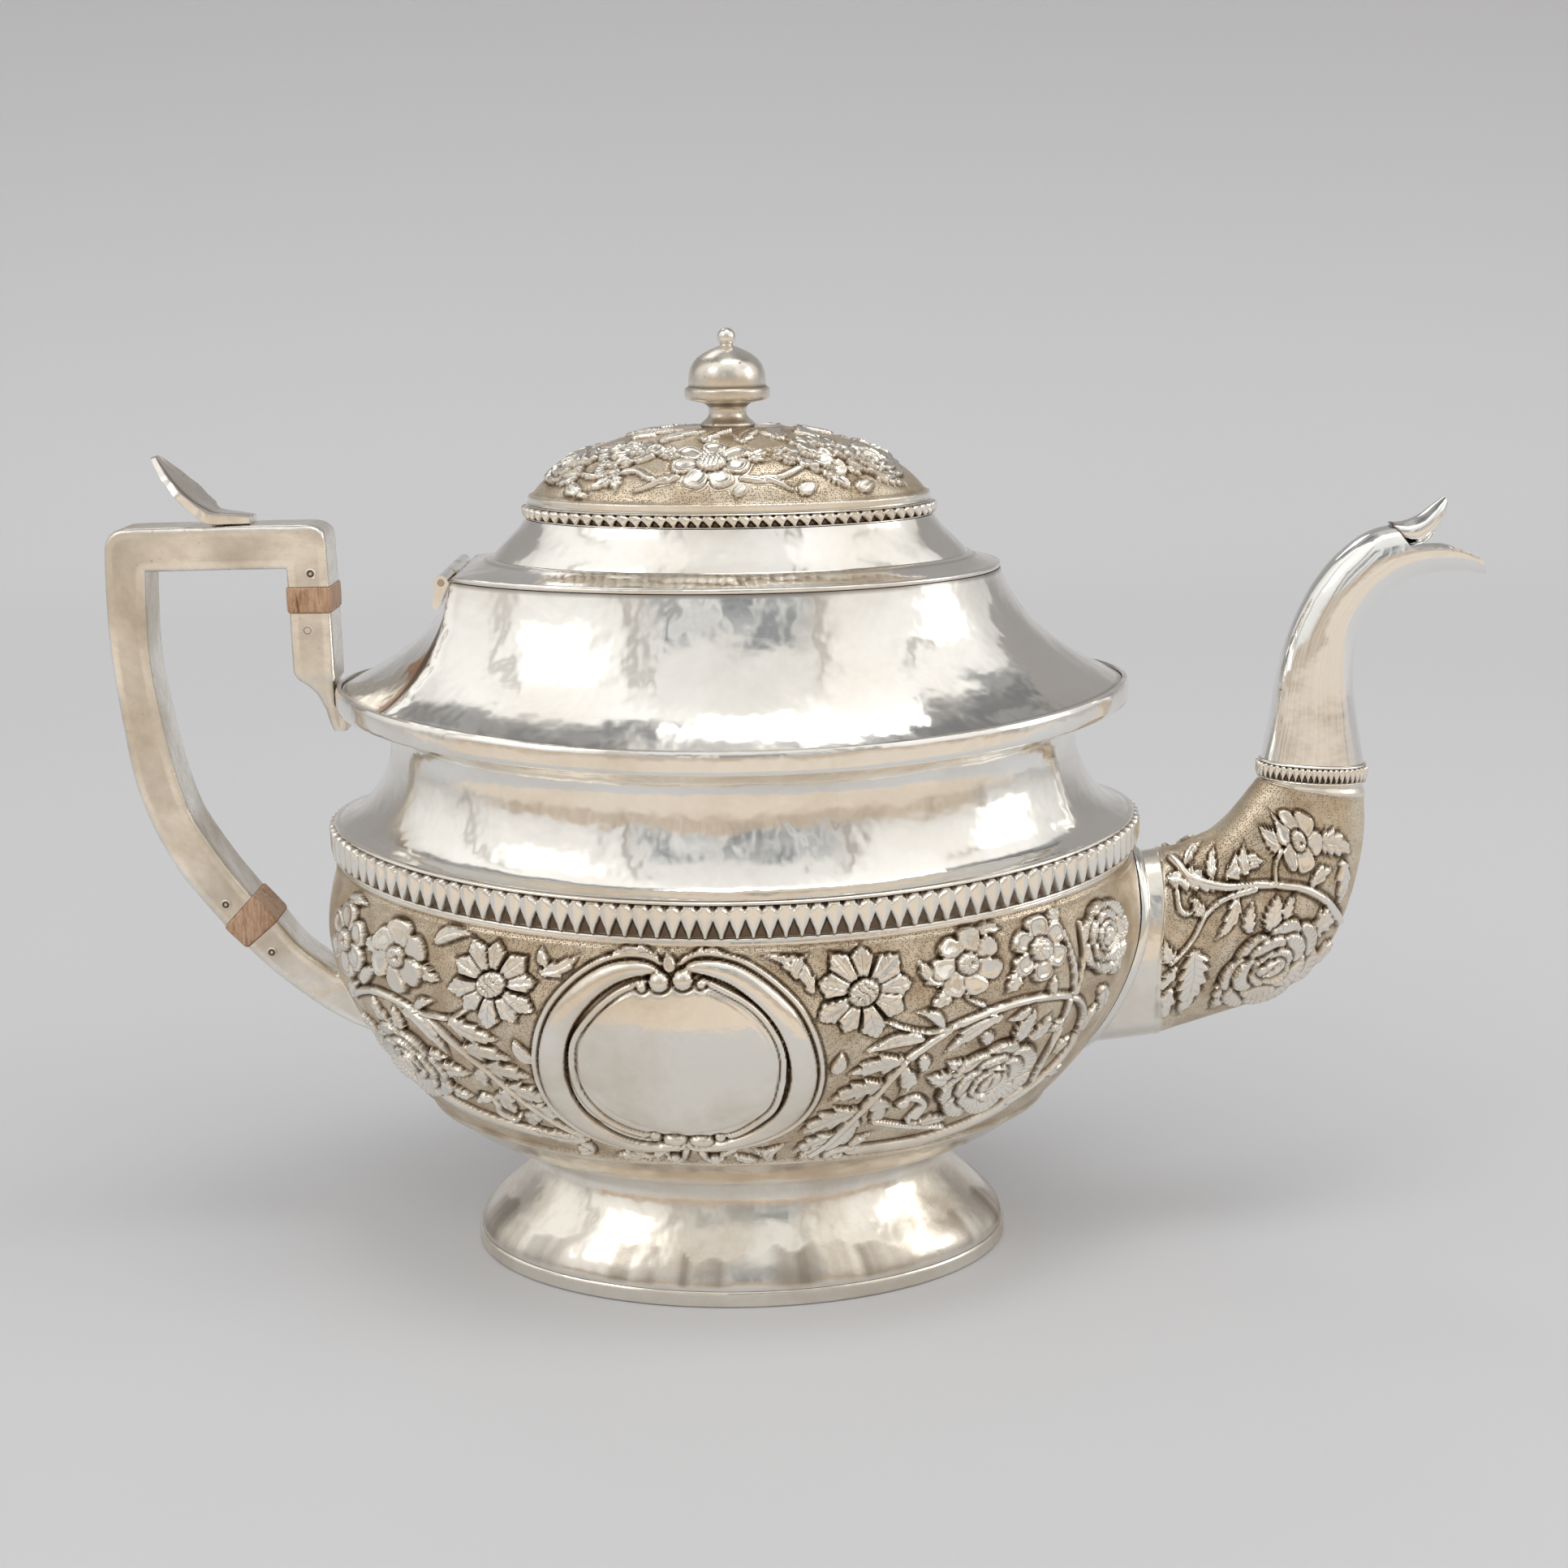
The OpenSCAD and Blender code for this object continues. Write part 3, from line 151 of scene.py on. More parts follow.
def loft(name, rings, kind="tyre", **kw):
    """a skin over rings of equal count; tyre closes on itself, caps puts a fan on both ends"""
    r = np.array(rings, float)
    k, n = r.shape[:2]
    co, quads, tris = r.reshape(-1, 3), quads_of(k, n, closed=kind == "tyre"), None
    if kind == "caps":
        m = len(co)
        co = np.vstack([co, r[0].mean(0), r[-1].mean(0)])
        tris = np.vstack([fan(0, n, m), fan((k - 1) * n, n, m + 1, True)])
    return make(name, co, quads, tris, **kw)


def capped(dirt_and_shade):
    """the dirt of each ring of a skin with caps"""
    return {"dirt_and_shade": np.r_[np.array(dirt_and_shade).ravel(), 0, 0]}


def select(*obs):
    for o in bpy.context.selected_objects:
        o.select_set(False)
    for o in obs:
        o.select_set(True)
    bpy.context.view_layer.objects.active = obs[0]


def cut_out(ob, tool, solver):
    """takes the closed mesh tool out of ob and deletes the tool"""
    mod = ob.modifiers.new("cut", "BOOLEAN")
    mod.operation = "DIFFERENCE"
    mod.solver = solver
    mod.object = tool
    select(ob)
    bpy.ops.object.modifier_apply(modifier="cut")
    bpy.data.objects.remove(tool)


def join(name, obs):
    select(*obs)
    bpy.ops.object.join()
    obs[0].name = name
    obs[0].data.name = name
    return obs[0]


# ---------------------------------------------------------------- the body's shape
BAND_DIP, SH_DIP = 3.9, 3.5          # drop of the sides at the bead band and at the shoulder
SEAM_H, BAND_H, WAIST_H, SH_H, STRIP_TOP, MOUTH_H = 22.4, 82., 104.5, 111., 115.4, 136.3
# half lengths of the body
SEAM_R, BELLY_R, BAND_R, WAIST_R, DECK_R, MOUTH_R = 42.5, 80.2, 77.12, 66, 74.7, 51.3
WALL = .9                            # sheet of foot, bowl, neck and deck


def dip(z):
    """how far the middle of each side hangs below the ends, at height z"""
    z = np.asarray(z, float)
    low = BAND_DIP * smooth((z - SEAM_H) / (BAND_H - SEAM_H))
    mid = mix(BAND_DIP, SH_DIP, (z - BAND_H) / (SH_H - BAND_H))
    high = SH_DIP * (1 - smooth((z - STRIP_TOP) / (MOUTH_H - STRIP_TOP)))
    return np.where(z < BAND_H, low, np.where(z < SH_H, mid, np.where(z < STRIP_TOP, SH_DIP, high)))


def even(phi, q=OVAL_RATIO):
    """angles of an oval of width q times its length, spread more evenly along it"""
    e = (1 - q * q) / (1 + q * q)
    return phi + e / 4 * np.sin(2 * phi)


def round_even(n, q=OVAL_RATIO):
    """n angles round an oval, evenly spread along it"""
    return even(np.linspace(0, 2 * PI, n, endpoint=False), q)


def oval(r, z, t, out=0., drop=None):
    """places on the body oval, moved out along the plan; drop is the fall at the middle of each side"""
    c, s = np.cos(t), np.sin(t)
    nx, ny = c * OVAL_RATIO, s
    l = np.hypot(nx, ny)
    fall = dip(z) if drop is None else drop
    return np.stack([r * c + out * nx / l, OVAL_RATIO * r * s + out * ny / l, z - fall * s * s], -1)


def beside(p, w):
    """the line p moved sideways by w"""
    d = unit(np.gradient(p, axis=0))
    return p + w * np.stack([-d[:, 1], d[:, 0]], 1)


def shell(name, prof, wall, n):
    """a thin walled oval skin from an outer profile of (r, z)"""
    t = round_even(n)
    inn = beside(prof, wall)
    rings = [oval(r, z, t) for r, z in prof]
    rings += [oval(prof[k][0], inn[k][1], t, inn[k][0] - prof[k][0]) for k in range(len(prof) - 1, -1, -2)]
    return loft(name, rings)


def raised(p, h):
    """moves each place of a sheet out along its own normal by h"""
    nr = unit(np.cross(np.roll(p, -1, 1) - np.roll(p, 1, 1), np.gradient(p, axis=0)))
    if ((p - p.mean(1)[:, None]) * nr).sum() < 0:
        nr = -nr
    return p + nr * h[..., None]


foot_c = bezier([[53.2, 3.25], [53.2, 8.2], [41, 13.6], [41, 19.6]], 26)
low_c = bezier([[SEAM_R, SEAM_H], [60.3, 24.2], [BELLY_R, 51.6], [BELLY_R, 68]], 200)
high_c = bezier([[BELLY_R, 68], [BELLY_R, 72], [78.8, 78.3], [77, BAND_H]], 60)
bowl_c = np.vstack([low_c, high_c[1:]])
waist_c = bezier([[75.4, 90], [71.2, 91], [WAIST_R, 98.5], [WAIST_R, WAIST_H]], 22)
flare_c = bezier([[WAIST_R, WAIST_H], [WAIST_R, 108.5], [69.7, 110.26], [74.4, 111.71]], 14)
neck_c = np.vstack([[[76.9, 82.06], [76.7, 89.4]], waist_c, flare_c[1:]])
deck_c = bezier([[DECK_R, 114.8], [68.2, 118], [54.8, 124.8], [MOUTH_R, MOUTH_H]], 34)

BOWL_RUN = run(bowl_c)


def bowl_x(y, z, out=0.):
    """x of the bowl's front end at a place (y, z)"""
    r = np.interp(z, bowl_c[:, 1], bowl_c[:, 0]) + out
    s = np.minimum(np.abs(y) / (OVAL_RATIO * r), .9)
    return r * np.sqrt(1 - s * s)


# ---------------------------------------------------------------- chased relief
class Relief:
    """a height field over a sheet of u (mm round) and v (mm up); k is the true width of 1 mm of u at v"""

    def __init__(self, u, v, k):
        self.u, self.v = u, v
        self.k = np.broadcast_to(np.asarray(k, float), (len(v),))
        self.h = np.zeros((len(v), len(u)))
        self.g = np.ones_like(self.h)          # 1 where the matted ground shows
        self.hp = np.zeros_like(self.h)        # phase of fine cut lines
        self.hm = np.zeros_like(self.h)        # strength of fine cut lines

    def kv(self, v):
        """true width of 1 mm of u at v"""
        return float(np.interp(v, self.v, self.k))

    def win(self, u, v, R):
        """the part of the sheet within R of (u, v), with true distances from there"""
        i = np.searchsorted(self.v, [v - R, v + R])
        kk = max(self.kv(v), .3)
        j = np.searchsorted(self.u, [u - R / kk, u + R / kk])
        sl = (slice(*i), slice(*j))
        X = (self.u[None, sl[1]] - u) * self.k[sl[0], None]
        Y = np.broadcast_to(self.v[sl[0], None] - v, X.shape)
        return sl, X, Y

    def stamp(self, sl, d, top, edge=.8, base=0., cup=None, cut=.34, cw=.5, phase=None, lines=None,
              ground=0.):
        """raises the sheet where d, the distance in from an outline, is above 0, with a cut line round it"""
        if d.size == 0:
            return
        q = np.clip(d / edge, 0, 1)
        prof = base + top * np.sqrt(1 - (1 - q) ** 2)
        if cup is not None:
            prof = prof + cup
        m = smooth((d + .22) / .44)
        h = self.h[sl] - cut * np.exp(-(np.minimum(d, 0) / cw) ** 2) * (d < .1)
        self.h[sl] = h * (1 - m) + prof * m
        self.g[sl] = self.g[sl] * (1 - m) + ground * m
        self.hm[sl] = self.hm[sl] * (1 - m)
        if phase is not None:
            self.hp[sl] = np.where(d > 0, phase, self.hp[sl])
            self.hm[sl] += m * (1. if lines is None else lines)

    def clear(self, m, level=0.):
        """takes the chasing away where m is 1 and leaves the sheet at one level"""
        self.h = self.h * (1 - m) + level * m
        self.g *= 1 - m
        self.hm *= 1 - m

    def ridge(self, d, wide, high):
        """a fine ridge where the distance d is 0"""
        self.h += high * np.exp(-(d / wide) ** 2)

    def leaves(self, *rows, **shape):
        """several leaves, each by its stalk, tip, half width, bend and count of lobes"""
        for row in rows:
            self.leaf(*row, **shape)

    def leaf(self, p0, p1, w, bend=0., lobes=0, top=.75, deep=.35, vein=.3, base=0.):
        """a leaf from stalk p0 to tip p1"""
        p0, p1 = np.array(p0, float), np.array(p1, float)
        mid = (p0 + p1) / 2
        kk = self.kv(mid[1])
        d = (p1 - p0) * [kk, 1]
        L = np.hypot(*d)
        R = L * .62 + w + abs(bend) * L + 1.2
        sl, X, Y = self.win(mid[0], mid[1], R)
        if X.size == 0:
            return
        e = d / L
        a = (X * e[0] + Y * e[1]) / L + .5
        t = -X * e[1] + Y * e[0] - bend * L * 4 * a * (1 - a)
        q = np.clip(a, 0, 1)
        wd = w * np.sin(PI * q ** .72) ** .8
        if lobes:
            f = (q * lobes - .35) % 1
            wd = wd * (1 - deep + deep * 1.25 * f ** 1.3 * (q < .93))
        dd = np.minimum(wd - np.abs(t), np.minimum(a, 1 - a) * L * .9 + .1)
        z = -vein * np.exp(-(t / .3) ** 2) * (a < .93) + .12 * np.clip(1 - np.abs(t) / w, 0, 1)
        self.stamp(sl, dd * .9, top, .55, base, z, phase=(a * L - np.abs(t) * .8) * 2 * PI / 1.6,
                lines=.2 * np.clip(np.abs(t) / .8, 0, 1))

    def petal(self, c, ang, r0, r1, w, kind="cup", base=0., top=.7):
        """one petal at angle ang: a dished cup, a swirl over its neighbour or a point with a toothed tip"""
        sl, X, Y = self.win(c[0], c[1], r1 + 1.5)
        if X.size == 0:
            return
        ca, sa = math.cos(ang), math.sin(ang)
        a, t = X * ca + Y * sa, -X * sa + Y * ca
        q = np.clip((a - r0) / (r1 - r0), 0, 1)
        if kind == "point":
            wd = w * np.interp(q, [0, .34, .64, .71, .74, .85, .88, 1], [.42, .72, 1, .96, .68, .56, .36, 0])
            d = np.minimum(wd - np.abs(t), np.minimum(a - r0, (r1 - a) * .8))
            z = .16 * (1 - np.abs(t) / w) - .34 * np.exp(-(t / .28) ** 2) * (q < .9) + .3 * q * (1 - q)
            self.stamp(sl, d, top, .5, base, z, cut=.45, phase=(np.abs(t) * .7 - a) * 3.6,
                       lines=.22 * (q > .12) * (np.abs(t) > .35))
            return
        m, rr = (r0 + r1) / 2, (r1 - r0) / 2
        wq = w * (.84 + .16 * np.clip((a - m) / rr, -1, 1))
        f = (np.abs((a - m) / rr) ** 2.6 + np.abs(t / wq) ** 2.6) ** (1 / 2.6)
        d = (1 - f) * min(rr, w)
        if kind == "cup":
            z = .36 * smooth((f - .35) / .4) - .34 + .12 * (q - .5)
            phase, lines = (f - .70) * 2 * PI * 2.2 + PI / 2, .55 * (np.abs(f - .70) < .17)
        else:
            z = .5 * t / w + .2 * smooth((f - .4) / .4) - .12
            phase, lines = 0., 0.
        self.stamp(sl, d, top, .42, base, z, phase=phase, lines=lines)

    def button(self, c, rx, ry=None, top=1.25, kind="hole", rot=0.):
        """the middle of a flower"""
        ry = ry or rx
        sl, X, Y = self.win(c[0], c[1], max(rx, ry) + 1.5)
        if X.size == 0:
            return
        ca, sa = math.cos(rot), math.sin(rot)
        a, t = X * ca + Y * sa, -X * sa + Y * ca
        f = np.sqrt((a / rx) ** 2 + (t / ry) ** 2)
        d = (1 - f) * min(rx, ry)
        z = .25 * np.clip(1 - f, 0, 1)
        phase, lines = np.arctan2(t, a) * 14, .4
        if kind == "hole":
            z = z - .85 * np.exp(-((a - .3 * rx) ** 2 + (t + .15 * ry) ** 2) / .30)
        elif kind == "net":
            z = z + .2 * (np.cos(a * 2 * PI / 1.2) * np.cos(t * 2 * PI / 1.2))
            phase, lines = a * 2 * PI / 1.2, .3
        elif kind == "cut":
            z = z - .42 * (np.abs(np.sin(a * PI / 1.25 + .8 * np.sin(t * 1.7))) < .34) * (f < .8)
        self.stamp(sl, d, top, .8, .15, z, cut=.5, phase=phase, lines=lines)

    def flower(self, c, R, rb, n, rot=0., kind="cup", button="hole", turn=0.):
        """n petals of reach R round a button of radius rb"""
        for i in range(n):
            a = rot + i * 2 * PI / n
            if kind == "point":
                self.petal(c, a + .06 * math.sin(i * 4.1), rb * .85, R * (1 + .07 * math.sin(i * 2.9)),
                           R * .25 * 9 / n * (1 + .1 * math.sin(i * 1.9)), "point", .08 * (i % 2))
            else:
                self.petal(c, a + turn, rb * .62, R * (1 + .04 * math.sin(i * 2.3)),
                           R * (.40 if kind == "cup" else .43) * 6 / n * (1 + .05 * math.sin(i * 1.7)), kind,
                           .1)
        self.button(c, rb, rb * (1 if button != "cut" else .84), kind=button, rot=.6)

    def rose(self, c, R, rot=0., sx=1., sy=1., seed=0):
        """nested cupped petals round a bud"""
        rng = np.random.RandomState(seed)
        for rho, q, n, lev, tp in ((.70, .37, 7, 0., .8), (.44, .33, 5, .32, .75), (.20, .25, 4, .62, .65)):
            off = rng.uniform(0, 6)
            for i in range(n):
                a = rot + off + 2 * PI * (i + rng.uniform(-.1, .1)) / n
                sl, X, Y = self.win(c[0], c[1], R * 1.25)
                if X.size == 0:
                    return
                x, y = X / sx - rho * R * math.cos(a), Y / sy - rho * R * math.sin(a)
                rad = x * math.cos(a) + y * math.sin(a)
                tan = -x * math.sin(a) + y * math.cos(a)
                qq = q * R * rng.uniform(.95, 1.08)
                f = np.sqrt((rad / (qq * .88)) ** 2 + (tan / (qq * 1.12)) ** 2)
                d = (1 - f) * qq * .9
                cup = .5 * np.clip(rad / qq, -.7, 1) + .22 * smooth((f - .55) / .3) - .06
                self.stamp(sl, d, tp, .45, lev, cup, cut=.42, cw=.42, phase=np.arctan2(tan,
                    rad + qq * .9) * 30, lines=.3 * (f > .55) * (rad > 0))
        sl, X, Y = self.win(c[0], c[1], R * .5)
        x, y = X / sx, Y / sy
        ca, sa = math.cos(rot + .9), math.sin(rot + .9)
        a, t = x * ca + y * sa, -x * sa + y * ca
        f = np.sqrt((a / (.27 * R)) ** 2 + (t / (.19 * R)) ** 2)
        z = -.7 * np.exp(-((t - .09 * R * np.sin(a / (.27 * R) * 2.2)) / .34) ** 2) * (f < .86)
        self.stamp(sl, (1 - f) * .19 * R, .75, .6, 1.0, z, cut=.6, phase=a * 6, lines=.15)

    def stem(self, pts, w, top=.7, tip=.55, n=26, base=0., groove=0., edge=.9, cut=.34, cw=.5):
        """a raised line; w is one half width, or one for each of the points"""
        wide = np.ndim(w) > 0
        p = spline([(*a, b) for a, b in zip(pts, w)] if wide else pts, n)
        c = (p.min(0) + p.max(0))[:2] / 2
        kk = self.kv(c[1])
        half = max((p[:, 0].max() - p[:, 0].min()) / 2 * kk,
                   (p[:, 1].max() - p[:, 1].min()) / 2) + 3 + np.max(w)
        sl, X, Y = self.win(c[0], c[1], half)
        if X.size == 0:
            return
        U = X + c[0] * self.k[sl[0], None]
        V = Y + c[1]
        best = np.full(X.shape, 1e9)
        along = np.zeros(X.shape)
        q = np.stack([p[:, 0] * np.interp(p[:, 1], self.v, self.k), p[:, 1]], 1)   # true widths
        for i in range(n - 1):
            a, b = q[i], q[i + 1]
            e = b - a
            L2 = max(e @ e, 1e-9)
            f = np.clip(((U - a[0]) * e[0] + (V - a[1]) * e[1]) / L2, 0, 1)
            dd = np.hypot(U - a[0] - f * e[0], V - a[1] - f * e[1])
            m = dd < best
            best = np.where(m, dd, best)
            along = np.where(m, (i + f) / (n - 1), along)
        ww = np.interp(along, np.linspace(0, 1, n), p[:, 2]) if wide else w * mix(1, tip, along)
        z = -groove * np.exp(-(best / .3) ** 2) if groove else 0.
        self.stamp(sl, ww - best, top, np.maximum(ww * edge, .2), base, z, cut=cut, cw=cw)

    def ball(self, c, r, top=1., ry=None):
        """a round or oval bead"""
        sl, X, Y = self.win(c[0], c[1], max(r, ry or 0) + 1.5)
        if X.size == 0:
            return
        f = np.hypot(X / r, Y / (ry or r))
        self.stamp(sl, (1 - f) * min(r, ry or r), top, min(r, ry or r) * .95, 0., None, cut=.55, cw=.55)

    def blur(self, n):
        """mean height over 2n + 1 places each way"""
        h = self.h
        for ax in (0, 1):
            first, last = (np.take(h, [k], ax) for k in (0, -1))
            c = np.cumsum(np.concatenate([np.repeat(first, n + 1, ax), h, np.repeat(last, n, ax)], ax), ax)
            size = h.shape[ax]
            h = (np.take(c, np.arange(2 * n + 1, 2 * n + 1 + size), ax) - np.take(c, np.arange(size),
                ax)) / (2 * n + 1)
        return h

    def dirt_and_shade(self):
        """dirt gathers where the sheet lies lower than round about"""
        return np.clip((self.blur(3) - self.h) * 1.6, 0, 1) * .75 + np.clip((self.blur(9) - self.h) * .8, 0,
            1) * .45


# ---------------------------------------------------------------- materials
class Nodes:
    """small helper that adds shader nodes and links them"""

    def __init__(self, tree):
        self.t = tree

    def __call__(self, kind, ins=None, **props):
        n = self.t.nodes.new(kind)
        for k, v in props.items():
            setattr(n, k, v)
        for k, v in (ins or {}).items():
            self.feed(n.inputs[k], v)
        return n

    def feed(self, socket, v):
        """links v to the socket, or sets it there when it is a plain value"""
        if isinstance(v, bpy.types.NodeSocket):
            self.t.links.new(v, socket)
        else:
            socket.default_value = v

    def math(self, op, a, b=None, c=None, clamp=False):
        n = self("ShaderNodeMath", {0: a}, operation=op)
        n.use_clamp = clamp
        for i, v in ((1, b), (2, c)):
            if v is not None:
                self.feed(n.inputs[i], v)
        return n.outputs[0]

    def ramp(self, fac, stops):
        """grey or coloured stops along fac"""
        n = self("ShaderNodeValToRGB", {0: fac})
        e = n.color_ramp.elements
        while len(e) < len(stops):
            e.new(.5)
        for i, (p, c) in enumerate(stops):
            e[i].position = p
            e[i].color = (c, c, c, 1) if isinstance(c, (int, float)) else (*c, 1)
        return n.outputs[0]

    def mixc(self, f, a, b, mode="MIX"):
        n = self("ShaderNodeMix", data_type="RGBA", blend_type=mode)
        for i, v in ((0, f), (6, a), (7, b)):
            self.feed(n.inputs[i], (*v, 1) if isinstance(v, tuple) else v)
        return n.outputs[2]

    def mul(self, a, b):
        return self.math("MULTIPLY", a, b)

    def add(self, a, b, clamp=False):
        return self.math("ADD", a, b, clamp=clamp)

    def noise(self, place, scale, detail, rough=.5, twist=0.):
        ins = {"Vector": place, "Scale": scale, "Detail": detail, "Roughness": rough, "Distortion": twist}
        return self("ShaderNodeTexNoise", ins).outputs["Fac"]

    def attr(self, name):
        return self("ShaderNodeAttribute", attribute_name=name).outputs["Fac"]

    def surface(self, ins):
        """the shader with its inputs, joined to the output"""
        p = self("ShaderNodeBsdfPrincipled", ins)
        self.t.links.new(p.outputs[0], self("ShaderNodeOutputMaterial").inputs[0])

    def mapped(self, place, scale, turn=(0, 0, 0), shift=(0, 0, 0)):
        return self("ShaderNodeMapping", {"Vector": place, "Scale": scale, "Rotation": turn,
                                          "Location": shift}).outputs[0]


def new_mat(name):
    m = bpy.data.materials.new(name)
    m.use_nodes = True
    m.node_tree.nodes.clear()
    return m, Nodes(m.node_tree)


def silver(name, base=(.93, .913, .875), rough=.11, wave=.8, wave_size=13., tarnish=.3, chased=False,
           scratch=.3, tarnish_col=(.56, .44, .29), pits=0.):
    """worked silver in mm: wave is the unevenness of the sheet; a darkening attribute of the mesh holds
    patina and dirt, and in places painted shadow
    """
    m, n = new_mat(name)
    co = n("ShaderNodeTexCoord").outputs["Object"]
    place = n.mapped(co, (1000, 1000, 1000))
    big = n.noise(place, 1 / wave_size, 3., .42)
    patch = n.noise(place, .035, 5., .62, .6)
    fine = n.noise(place, .55, 5., .65)
    # long faint scratches
    scratches = n.noise(n.mapped(place, (.12, 1.2, 1.6), (.3, .5, .2)), 2.2, 3., .7)
    scratched = n.ramp(scratches, [(.60, 0.), (.72, 1.)])
    p = n("ShaderNodeBsdfPrincipled")
    p.inputs["Metallic"].default_value = 1.
    dirt_and_shade = n.attr("dirt_and_shade")
    tarnished = n.mul(n.ramp(patch, [(.42, 0.), (.72, 1.)]), tarnish)
    tarnished = n.add(tarnished, n.mul(n.math("SUBTRACT", fine, .5), tarnish * .5), clamp=True)
    col = n.mixc(tarnished, base, tarnish_col)
    if pits:
        spots = n("ShaderNodeTexVoronoi", {"Vector": place, "Scale": .42,
                                           "Randomness": 1.}).outputs["Distance"]
        pitted = n.mul(n.ramp(spots, [(.06, 1.), (.17, 0.)]), n.ramp(fine, [(.48, 0.), (.6, 1.)]))
        col = n.mixc(n.mul(pitted, pits), col, (.10, .075, .055))
    # darkening from the mesh attribute: patina and dirt in hollows, and painted shadow at the gap between the
    # lid's flange and the deck's mouth
    grime_and_shade_mask = n.ramp(dirt_and_shade, [(.10, 0.), (.42, .62), (1., 1.)])
    roughness = n.add(n.mul(tarnished, .30), rough)
    roughness = n.add(roughness, n.mul(scratched, scratch * .18))
    height = n.mul(big, wave)
    height = n.add(height, n.mul(scratches, scratch * .010))
    height = n.add(height, n.mul(fine, .012 * scratch))
    if chased:
        ground = n.attr("ground")
        phase = n.attr("cut_phase")
        lines = n.attr("cut_mask")
        punch = n("ShaderNodeTexVoronoi", {"Vector": place, "Scale": 2.9,
                                           "Randomness": .6}).outputs["Distance"]
        worn = n.noise(place, .16, 3.)
        # the matted ground: rows of small punch marks, darker where the polish cannot reach
        matted = n.mixc(n.ramp(worn, [(.36, 0.), (.66, 1.)]), (.56, .445, .31), (.80, .70, .55))
        pit = n.ramp(punch, [(.14, 1.), (.40, 0.)])
        matted = n.mixc(n.mul(pit, .6), matted, (.25, .175, .11))
        col = n.mixc(n.mul(ground, .94), col, matted)
        col = n.mixc(grime_and_shade_mask, col, (.15, .103, .064))
        line = n.ramp(n.math("SINE", phase), [(.0, 0.), (.35, 0.), (.9, 1.)])
        line = n.mul(line, lines)
        col = n.mixc(n.mul(line, .85), col, (.24, .17, .11))
        roughness = n.add(roughness, n.mul(ground, .20))
        height = n.add(height, n.mul(n.mul(pit, ground), -.16))
        height = n.add(height, n.mul(n.mul(worn, ground), .12))
        height = n.add(height, n.mul(line, -.09))
    else:
        col = n.mixc(grime_and_shade_mask, col, (.14, .095, .06))
    roughness = n.add(roughness, n.mul(grime_and_shade_mask, .22), clamp=True)
    bump = n("ShaderNodeBump", {"Strength": 1., "Distance": .001, "Height": height})
    n.t.links.new(col, p.inputs["Base Color"])
    n.t.links.new(roughness, p.inputs["Roughness"])
    n.t.links.new(bump.outputs[0], p.inputs["Normal"])
    out = n("ShaderNodeOutputMaterial")
    n.t.links.new(p.outputs[0], out.inputs[0])
    return m


def bone(name):
    """brown insulator with a grain along Z"""
    m, n = new_mat(name)
    co = n("ShaderNodeTexCoord").outputs["Object"]
    place = n.mapped(co, (1000, 1000, 1000))
    grain = n.mapped(place, (1.3, 1.3, .16))
    brown = n.noise(grain, 1.5, 5., .6)
    fibre = n.noise(grain, 5.5, 3., .6)
    pale = n.noise(place, .25, 3.)
    browns = n.ramp(brown, [(.32, (.20, .10, .05)), (.48, (.50, .29, .17)), (.68, (.66, .44, .29))])
    col = n.mixc(n.ramp(fibre, [(.54, 0.), (.68, .75)]), browns, (.12, .055, .03))
    col = n.mixc(n.ramp(pale, [(.4, 0.), (.75, .5)]), col, (.70, .52, .38))
    p = n("ShaderNodeBsdfPrincipled", {"Base Color": col})
    p.inputs["Metallic"].default_value = 0.
    n.t.links.new(n.add(n.mul(fibre, .2), .30), p.inputs["Roughness"])
    bump = n("ShaderNodeBump", {"Strength": 1., "Distance": .001, "Height": n.mul(fibre, .09)})
    n.t.links.new(bump.outputs[0], p.inputs["Normal"])
    out = n("ShaderNodeOutputMaterial")
    n.t.links.new(p.outputs[0], out.inputs[0])
    return m


M_BODY = silver("plain_silver")
M_FOOT = silver("foot_silver", base=(.88, .835, .76), rough=.13, tarnish=.55, tarnish_col=(.50, .385, .25),
                scratch=.6)
M_POLISH = silver("spout_silver", base=(.925, .92, .90), rough=.08, wave=.25, wave_size=9., tarnish=.1,
                  scratch=.25)
M_CHASE = silver("chased_silver", base=(.93, .89, .815), rough=.14, wave=.3, wave_size=6., tarnish=.45,
                 chased=True, scratch=.4)
M_BEAD = silver("bead_silver", base=(.94, .91, .85), rough=.15, wave=.12, wave_size=4., tarnish=.35,
                scratch=.5)
M_HANDLE = silver("handle_silver", rough=.21, wave=.4, wave_size=6., tarnish=.75, scratch=.9,
                  base=(.95, .92, .86), tarnish_col=(.50, .42, .31), pits=.3)
M_FINIAL = silver("finial_silver", rough=.14, wave=.2, wave_size=5., tarnish=.8, scratch=.6, pits=.9)
M_DARK = silver("tarnished_silver", base=(.55, .50, .43), rough=.32, wave=.1, wave_size=3., tarnish=.8,
                scratch=.8)
M_IN = silver("inner_silver", base=(.80, .76, .69), rough=.34, wave=.3, wave_size=9., tarnish=.7, scratch=.6)
M_BONE = bone("insulator_brown")


def put(ob, mat, body, nodes=()):
    ob.data.materials.clear()
    ob.data.materials.append(mat)
    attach(ob, body)
    if nodes:
        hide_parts(*nodes)
    return ob


def piece(name, rings, mat, node, body="pot", dirt_and_shade=None, kind="tyre", sharp=38):
    """a piece made of one skin over rings, with the darkening of each ring: dirt, and on the lid's flange and
    the deck's mouth painted shadow
    """
    if dirt_and_shade is None:
        attrs = None
    elif kind == "caps":
        attrs = capped(dirt_and_shade)
    else:
        attrs = {"dirt_and_shade": np.array(dirt_and_shade)}
    put(loft(name, rings, kind, attrs=attrs, sharp=sharp), mat, body, [node])


